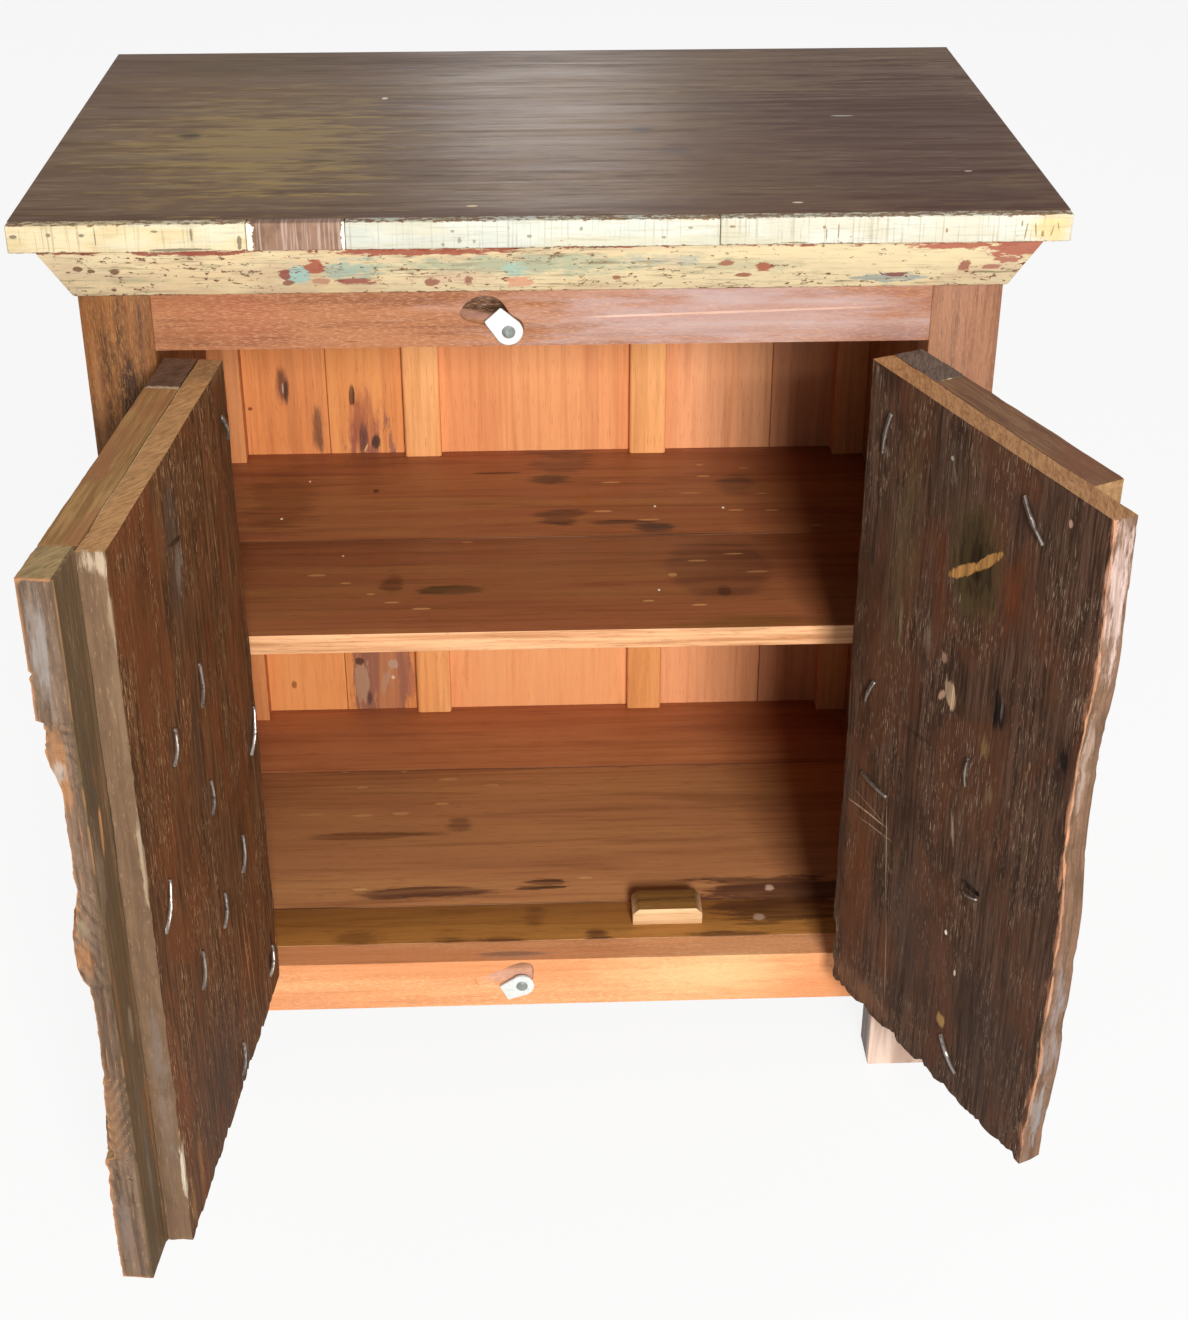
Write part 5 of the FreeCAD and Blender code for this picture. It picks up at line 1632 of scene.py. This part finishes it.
@dataclass
class DoorTones:
    """Chooses the finishes of one door's pieces."""

    door: Door

    @property
    def left(self) -> bool:
        """Whether this is the left door."""
        return self.door.side is Side.LEFT

    def mark(self, across: float, height: float, wide: float, high: float, colour: str,
             *look: float, **more: float) -> Mark:
        """Mark on the back of the door, in millimetres from the hinge edge and from the floor."""
        centre = (self.door.at(across * MM), self.door.back, height * MM)
        return Mark(centre, (wide * MM, 8 * MM, high * MM), colour, *look, **more)

    def flank(self, deep: float, height: float, wide: float, high: float, colour: str,
              *look: float, **more: float) -> Mark:
        """Mark on the free flank of the door, in millimetres on y and from the floor."""
        centre = (self.door.at(self.door.front_width), deep * MM, height * MM)
        return Mark(centre, (12 * MM, wide * MM, high * MM), colour, *look, **more)

    def lap(self, across: float, height: float, wide: float, high: float, colour: str,
            *look: float, **more: float) -> Mark:
        """Mark on the back of the lap, in millimetres from the hinge edge and from the floor."""
        door = self.door
        centre = (door.at(across * MM), door.joint - 1.5 * MM, height * MM)
        return Mark(centre, (wide * MM, 3 * MM, high * MM), colour, *look, **more)

    def edge(self, deep: float, height: float, wide: float, high: float, colour: str,
             *look: float, **more: float) -> Mark:
        """Mark on the free edge of the plank, in millimetres on y and from the floor."""
        door = self.door
        across = door.back_width + door.bulge(height * MM)
        centre = (door.at(across), deep * MM, height * MM)
        return Mark(centre, (6 * MM, wide * MM, high * MM), colour, *look, **more)

    def top(self, across: float, deep: float, wide: float, long: float, colour: str,
            *look: float, **more: float) -> Mark:
        """Mark on the sawn top of the door, in millimetres from the hinge edge and on y."""
        centre = (self.door.at(across * MM), deep * MM, self.door.head)
        return Mark(centre, (wide * MM, long * MM, 14 * MM), colour, *look, **more)

    def plank(self) -> OldWood:
        """Finish of the back plank."""
        mark, edge, top = self.mark, self.edge, self.top
        crack = (0.95, 0.4, 0.2)
        wide = (0.9, 0.8)
        if self.left:
            return OldWood("3e2614", "7a5032", "6c3c20", "c8a278", self.door.swing, seed=1.0, lift=0.85,
                           edge_tones=("7a614a", "604a38"), end_tones=("bc8e60", "906842"), marks=(
                mark(60, 520, 26, 330, "7a401e", 0.4, *wide),
                mark(120, 600, 14, 240, "70391a", 0.35, *wide),
                mark(196, 742, 34, 90, "4a3e34", 0.7, *wide),
                mark(200, 790, 20, 40, "50463c", 0.5, *wide),
                mark(190, 560, 16, 90, "4a3a30", 0.45, *wide),
                mark(190, 733, 11, 24, "8e8478", 0.55, 0.8, 0.8),
                mark(190, 757, 24, 2.8, "120c08", 0.8, 0.4, 0.3, turn=-14, depth=1.4),
                mark(230, 220, 100, 100, "362822", 0.7, *wide),
                mark(33, 200, 8, 13, "120c08", 0.8, 0.4, depth=3.0), mark(22, 215, 6, 18, "2a1a12"),
                mark(96, 246, 1.6, 96, "a87440", 0.85, 0.5, 0.15, turn=6),
                mark(110, 250, 1.2, 80, "b8844c", 0.85, 0.5, 0.15, turn=5),
                mark(128, 262, 1.2, 90, "9c683c", 0.75, 0.5, 0.15, turn=4),
                mark(170, 250, 1.2, 60, "7c644c", 0.6, 0.5, 0.1, turn=-16),
                mark(310, 205, 9, 60, "94683c", 0.7, 0.8, 0.6),
                mark(342, 190, 6, 30, "a07848", 0.6, 0.8, 0.6),
                edge(-205, 240, 3.2, 42, "cfc0a8", 0.85, 0.4, 0.7),
                edge(-206, 560, 2.6, 60, "b8a488", 0.5, 0.6, 0.8),
                edge(-215, 320, 10, 110, "786a60", 0.6, *wide),
                edge(-216, 180, 12, 20, "6a5040", 0.7, 0.5, 0.6),
                edge(-214, 826, 12, 12, "c0ac92", 0.6, 0.7, 1.2),
                edge(-206, 780, 2.4, 30, "b09a80", 0.5, 0.7, 1.0),
                top(20, -216, 40, 20, "6e5640", 0.7, 0.5, 0.4),
                top(180, -227, 180, 1.0, "c4ae88", *crack)))
        return OldWood("302017", "64493a", "5a3826", "a48c74", self.door.swing, seed=8.0, lift=0.7,
                       edge_tones=("82624e", "55402f"), end_tones=("ac8058", "845c3e"), marks=(
            mark(40, 330, 34, 130, "6e4024", 0.65, *wide), mark(60, 176, 75, 22, "8a6248", 0.6, *wide),
            mark(90, 250, 22, 60, "74452a", 0.55, *wide), mark(70, 700, 26, 130, "5e4c30", 0.5, *wide),
            mark(250, 250, 70, 110, "3c302a", 0.55, *wide), mark(215, 780, 60, 26, "3c2c26", 0.6, *wide),
            mark(122, 700, 12, 56, "643218", 0.65, *wide), mark(216, 706, 14, 56, "6a3318", 0.7, *wide),
            mark(165, 712, 37, 62, "5e4c2e", 0.8, 0.25, 0.5),
            mark(165, 713, 34, 58, "33261a", 0.9, 0.25, 0.5),
            mark(166, 714, 27, 48, "54452a", 0.8, 0.25, 0.5),
            mark(166, 715, 24, 43, "2c2116", 0.9, 0.3, 0.5),
            mark(167, 716, 16, 31, "4c3c26", 0.75, 0.3, 0.6),
            mark(167, 717, 13, 26, "1e150c", 0.9, 0.5, 0.6),
            mark(160, 668, 18, 14, "54462c", 0.6, 0.8, 0.8),
            mark(152, 699, 24, 5.4, "b8844a", 0.95, 0.2, turn=36, depth=0.5),
            mark(182, 722, 24, 4.8, "b08048", 0.95, 0.2, turn=42, depth=0.5),
            mark(150, 575, 9, 15, "c4a484", 0.9, 0.3, 0.5, turn=18, depth=1.6),
            mark(139, 569, 4.5, 9, "b08e70", 0.85, 0.3, 0.5, turn=-34, depth=1.2),
            mark(137, 606, 5, 6, "a07c64", 0.75, 0.4, 0.7),
            mark(216, 594, 12, 26, "241a16", 0.7, 0.8, 0.8),
            mark(215, 593, 9, 23, "0c0908", 1.0, 0.5, 0.6, depth=2.0),
            mark(219, 600, 1.8, 15, "8a8480", 0.6, 0.5, 0.5),
            mark(202, 551, 7, 15, "8a7044", 0.7, 0.8, 1.0, turn=14),
            mark(215, 508, 5, 11, "7a6448", 0.6, 0.8, 1.0),
            mark(71, 608, 4.5, 26, "94805e", 0.6, 0.8, 1.2),
            mark(128, 780, 3, 14, "8c8070", 0.6, 0.6, 1.0, turn=20),
            # Painted highlight: the near-white speck here is a glint on the plank's fibres.
            mark(123, 791, 2.4, 2.4, "e0d8cc", 0.8, 0.4), mark(274, 799, 3, 4, "b89080", 0.8, 0.4),
            mark(110, 510, 24, 3.4, "241810", 0.6, 0.7, 0.7, turn=4),
            mark(172, 444, 2.4, 28, "a48c74", 0.75, 0.6, 0.7, turn=12),
            mark(78, 360, 0.9, 62, "b49a7c", 0.8, 0.4, 0.1, turn=6),
            mark(91, 244, 0.9, 62, "a88c6c", 0.75, 0.4, 0.1, turn=6),
            mark(300, 596, 6, 12, "0e0b0a", 0.9, 0.6, 0.6, depth=1.2),
            mark(204, 404, 15, 3.6, "0a0605", 1.0, 0.2, depth=3.0),
            mark(204, 412, 16, 9, "4a3a34", 0.6, 0.6),
            # Painted highlights: the two tiny near-white specks here are glints on the plank's fibres.
            mark(177, 334, 2.2, 3, "ece4d4", 0.95, 0.3), mark(196, 301, 1.8, 4, "e0d4c4", 0.9),
            mark(183, 236, 8, 9, "a88450"), mark(44, 383, 37, 1.3, "b89c7c", 0.85, 0.4, 0.12, turn=5),
            mark(46, 392, 36, 1.0, "94785c", 0.7, 0.4, 0.1, turn=-10),
            mark(58, 373, 34, 1.0, "a08468", 0.75, 0.4, 0.1, turn=7),
            mark(120, 300, 60, 110, "4c3c34", 0.5, *wide), mark(40, 560, 30, 160, "5c3822", 0.5, *wide),
            *(edge(-206, height, 2.4, 34, "d09470", 0.7, 0.8, 1.2) for height in EDGE_STREAKS),
            edge(-216, 760, 12, 80, "c8b0a6", 0.85, 0.8, 1.0),
            edge(-217, 330, 10, 90, "8e8684", 0.7, 0.8, 1.0),
            edge(-214, 600, 8, 60, "c0a898", 0.5, 0.8, 1.0),
            edge(-216, 220, 10, 60, "8e8886", 0.75, 0.7, 1.0),
            mark(30, 300, 26, 100, "5c3420", 0.55, *wide), mark(60, 640, 20, 120, "5a4630", 0.5, *wide),
            mark(110, 590, 10, 18, "2c2624", 0.6, 0.7, 0.8),
            mark(112, 612, 8, 26, "867868", 0.45, 0.8, 1.0), mark(120, 770, 30, 60, "4a3a2e", 0.6, *wide),
            mark(298, 592, 18, 40, "221a16", 0.7, 0.9, 0.8),
            top(180, -227, 160, 1.0, "241a14", *crack)))

    def stile(self) -> OldWood:
        """Finish of the hinge stile."""
        ends = ("6a5040", "463024") if self.left else ("72625a", "4c4038")
        return OldWood("3a2a1c", "6a5038", "5c3a22", "a08868", self.door.swing, seed=12.0, end_tones=ends,
                       marks=(self.top(64, -240, 3, 20, "c8b090", 0.8, 0.5, 0.6),))

    def bars(self) -> OldWood:
        """Finish of the rails, whose long grain shows on the door's top."""
        tones = ("84603a", "b08858", "926040") if self.left else ("644838", "8e6a50", "744c38")
        return OldWood(*tones, "b89468", self.door.swing, Grain.ACROSS, ends=0.0,
                       edge_tones=("a8845c", "7a5838"), lift=0.3, rough=0.6, seed=14.0)

    def fields(self) -> OldWood:
        """Finish of the panels."""
        return OldWood("3a2a1c", "6a5038", "5c3a22", "a08868", self.door.swing, seed=16.0, lift=0.5,
                       # Pale ridges on the carving are wear with a painted highlight, and the dark hollows
                       # are painted shade.
                       worn="a8845c")

    def free_edge(self) -> OldWood:
        """Finish of the strips at the free edge."""
        flank, lap = self.flank, self.lap
        if self.left:
            soft = (0.7, 0.7)
            return OldWood("5a4434", "8a6a50", "9a6038", "c8a078", self.door.swing, seed=18.0,
                           # Pale ridges on the carving are wear with a painted highlight, and the dark
                           # hollows are painted shade.
                           worn="ac7850", edge_tones=("7e6754", "4e3d31"),
                           end_tones=("a88c62", "786646"), marks=(
                flank(-246, 775, 11, 55, "8e8680", 0.75, *soft),
                flank(-246, 690, 9, 26, "a8764e", 0.6, *soft),
                flank(-243, 655, 8, 24, "b07a50", 0.6, *soft),
                flank(-246, 672, 6, 10, "a09890", 0.6, *soft),
                flank(-247, 500, 7, 22, "b47848", 0.6, *soft),
                flank(-246, 530, 6, 12, "8a7a60", 0.6, *soft),
                flank(-244, 340, 8, 60, "946c4c", 0.5, *soft),
                flank(-246, 215, 8, 50, "7e6e66", 0.5, *soft),
                lap(380, 495, 70, 700, "5a4832", 0.96, 0.1, 0.05),
                lap(384, 620, 12, 120, "4a4236", 0.6, 0.9, 0.8),
                lap(372, 300, 14, 110, "6a5c4c", 0.6, 0.9, 0.8),
                lap(375, 604, 3.2, 24, "cc8f5c", 0.95, 0.3, 0.3, turn=-3),
                lap(388, 585, 9, 40, "7c6450", 0.85, 0.5, 1.0),
                lap(394, 560, 5, 60, "8c745c", 0.8, 0.5, 1.0),
                lap(370, 412, 5, 24, "8c7860", 0.8, 0.4, 0.5),
                lap(374, 250, 4, 70, "80705e", 0.5, 0.8, 0.6)))
        return OldWood("3a2a1c", "6a5038", "5c3a22", "a08868", self.door.swing, seed=19.0,
                       edge_tones=("8a8078", "5a5a5e"), end_tones=("a07a4c", "6a5a50"))


LEFT_NAILS = tuple(Nail(*place) for place in (
    (0.019, 0.778, 26, 0.032), (0.168, 0.607, -6, 0.042), (0.021, 0.466, -31, 0.047),
    (0.255, 0.602, -22, 0.032), (0.171, 0.494, -9, 0.034, 0.0026), (0.094, 0.377, -18, 0.038),
    (0.318, 0.490, -36, 0.044), (0.168, 0.369, -22, 0.034), (0.249, 0.367, -19, 0.036),
    (0.031, 0.199, -34, 0.032), (0.160, 0.187, -20, 0.034)))
RIGHT_NAILS = tuple(Nail(*place) for place in (
    (0.030, 0.776, -12, 0.042), (0.232, 0.783, 42, 0.043), (0.034, 0.515, -24, 0.030),
    (0.052, 0.421, 84, 0.042), (0.184, 0.515, 0, 0.030, 0.0026), (0.199, 0.207, 42, 0.039),
    (0.206, 0.396, 100, 0.020, 0.003)))
EDGE_STREAKS = range(200, 820, 44)
RIGHT_BULGES = ((0.18, 0.0), (0.30, 0.008), (0.44, 0.0105), (0.53, 0.0035), (0.60, 0.0045), (0.70, 0.012),
                (0.82, 0.0095))


@dataclass
class Hardware:
    """Turn buttons, their screws and the hinges' fixed parts."""

    rounding: float = 1.3 * MM
    steps: int = 3
    least_angle: float = 12.0
    smooth_angle: float = 50.0

    def build(self) -> None:
        """Dresses the metal."""
        iron = MetalFinish("5c5650", "3a2c22", 0.8, 0.45)
        for name in ("hinge_frame_leaves", "hinge_frame_screws", "hinge_pins"):
            dress(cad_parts[name], iron, Slot.IRON)
        dress(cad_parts["button_screws"], MetalFinish("868a86", "4c4e4c", 0.2, 0.45), Slot.IRON)
        enamel = MetalFinish("d2d4d0", "9a948a", 0.0, 0.4, 0.3)
        for name, body in (("turn_button_top", "top_button"), ("turn_button_sill", "sill_button")):
            piece = Workshop.copy_of(name, "tab_" + body)
            Workshop.bevel(piece, self.rounding, self.steps, self.least_angle)
            Workshop.smooth(piece, self.smooth_angle)
            dress(piece, enamel, Slot.BUTTON)
            Workshop.settle(piece, body, [name])


@dataclass
class Studio:
    """Pale floor, soft light and the camera of the photograph."""

    camera_place: Triple = (-0.01993, -1.90704, 1.51003)
    pitch: float = -28.261
    yaw: float = 2.204
    roll: float = 0.057
    focal: float = 2020.65
    frame_width: float = 1188.0
    rise: float = 100.0
    target: Triple = (0.0, 0.0, 0.5)
    whiteness: float = 0.88
    ambient: float = 0.38
    floor_size: float = 40.0
    lamps: tuple[tuple[str, Triple, tuple[float, float], float], ...] = (
        ("window", (0.66, -4.2, 2.25), (0.95, 0.9), 240), ("strip", (0.05, 4.0, 2.15), (0.6, 1.4), 12))

    def camera(self) -> None:
        """Sets the camera where the photograph was taken."""
        data = bpy.data.cameras.new("photograph")
        data.sensor_fit = "HORIZONTAL"
        data.sensor_width = 36.0
        data.lens = self.focal * data.sensor_width / self.frame_width
        data.shift_y = -self.rise / self.frame_width
        camera = bpy.data.objects.new("photograph", data)
        bpy.context.scene.collection.objects.link(camera)
        turn = Matrix.Identity(4)
        for angle, axis in ((-self.yaw, "Z"), (90 + self.pitch, "X"), (self.roll, "Z")):
            turn = turn @ Matrix.Rotation(math.radians(angle), 4, axis)
        camera.matrix_world = Matrix.Translation(Vector(self.camera_place)) @ turn
        bpy.context.scene.camera = camera

    def lamp(self, name: str, place: Triple, size: tuple[float, float], power: float) -> None:
        """Adds a soft box that faces the cabinet."""
        data = bpy.data.lights.new(name, "AREA")
        data.shape = "RECTANGLE"
        data.size, data.size_y = size
        data.energy = power
        lamp = bpy.data.objects.new(name, data)
        bpy.context.scene.collection.objects.link(lamp)
        aim = (Vector(self.target) - Vector(place)).to_track_quat("-Z", "Y")
        lamp.matrix_world = Matrix.Translation(Vector(place)) @ aim.to_matrix().to_4x4()

    def shown(self, bench: Bench) -> Socket:
        """Whether a ray comes from the camera, straight or by way of gloss or glass."""
        path = bench.node("ShaderNodeLightPath")
        straight = path.outputs["Is Camera Ray"]
        seen = bench.math("MAXIMUM", path.outputs["Is Glossy Ray"], path.outputs["Is Transmission Ray"])
        return bench.math("MAXIMUM", straight, seen)

    def floor(self) -> None:
        """Lays a white floor that keeps the cabinet's shadow."""
        Workshop.clear()
        bpy.ops.mesh.primitive_plane_add(size=self.floor_size, location=(0, 0, 0))
        plane = bpy.context.object
        plane.name = "floor"
        bench = Bench("floor")
        bench.finish("e4e4e2", 0.8, None, 0.0, 0.0)
        white = bench.node("ShaderNodeEmission")
        mix = bench.node("ShaderNodeMixShader")
        share = bench.product(self.shown(bench), self.whiteness)
        for socket, value in zip(mix.inputs, (share, bench.shader.outputs[0], white.outputs[0])):
            bench.feed(socket, value)
        output = next(node for node in bench.tree.nodes if node.type == "OUTPUT_MATERIAL")
        bench.feed(output.inputs["Surface"], mix.outputs[0])
        plane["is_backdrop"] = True
        plane.data.materials.append(bench.material)

    def world(self) -> None:
        """Fills the room with soft light, white to the camera."""
        world = bpy.data.worlds.new("room")
        world.use_nodes = True
        bpy.context.scene.world = world
        tree = world.node_tree
        tree.nodes.clear()
        seen = tree.nodes.new("ShaderNodeBackground")
        seen.inputs[1].default_value = 1.0
        seen.inputs[0].default_value = (1, 1, 1, 1)
        room = tree.nodes.new("ShaderNodeBackground")
        room.inputs[0].default_value = (1, 1, 1, 1)
        room.inputs[1].default_value = self.ambient
        path = tree.nodes.new("ShaderNodeLightPath")
        larger = tree.nodes.new("ShaderNodeMath")
        either = tree.nodes.new("ShaderNodeMath")
        larger.operation = either.operation = "MAXIMUM"
        mix = tree.nodes.new("ShaderNodeMixShader")
        output = tree.nodes.new("ShaderNodeOutputWorld")
        for source, target in ((path.outputs["Is Glossy Ray"], larger.inputs[0]),
                               (path.outputs["Is Transmission Ray"], larger.inputs[1]),
                               (larger.outputs[0], either.inputs[0]),
                               (path.outputs["Is Camera Ray"], either.inputs[1]),
                               (either.outputs[0], mix.inputs[0]), (room.outputs[0], mix.inputs[1]),
                               (seen.outputs[0], mix.inputs[2]), (mix.outputs[0], output.inputs[0])):
            tree.links.new(source, target)

    def build(self) -> None:
        """Sets up the whole studio."""
        self.camera()
        for lamp in self.lamps:
            self.lamp(*lamp)
        self.floor()
        self.world()
        bpy.context.scene.view_settings.view_transform = "Standard"


def main() -> None:
    """Builds the cabinet and the studio round it."""
    logging.basicConfig(level=logging.INFO, format="%(message)s")
    Studio().build()
    Carcase().build()
    Top().build()
    Door(Side.LEFT, 96.5, 0.35778, 0.066, 0.34778, 0.39978, LEFT_NAILS).build()
    Door(Side.RIGHT, 115.0, 0.31222, 0.062, 0.23622, 0.27022, RIGHT_NAILS, RIGHT_BULGES, drop=0.012,
         rise=0.012).build()
    Hardware().build()
    sizes = {"cad": cad_box, "visual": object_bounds()}
    {name: [list(corner) for corner in box] for name, box in sizes.items()}


if __name__ == "__main__":
    main()
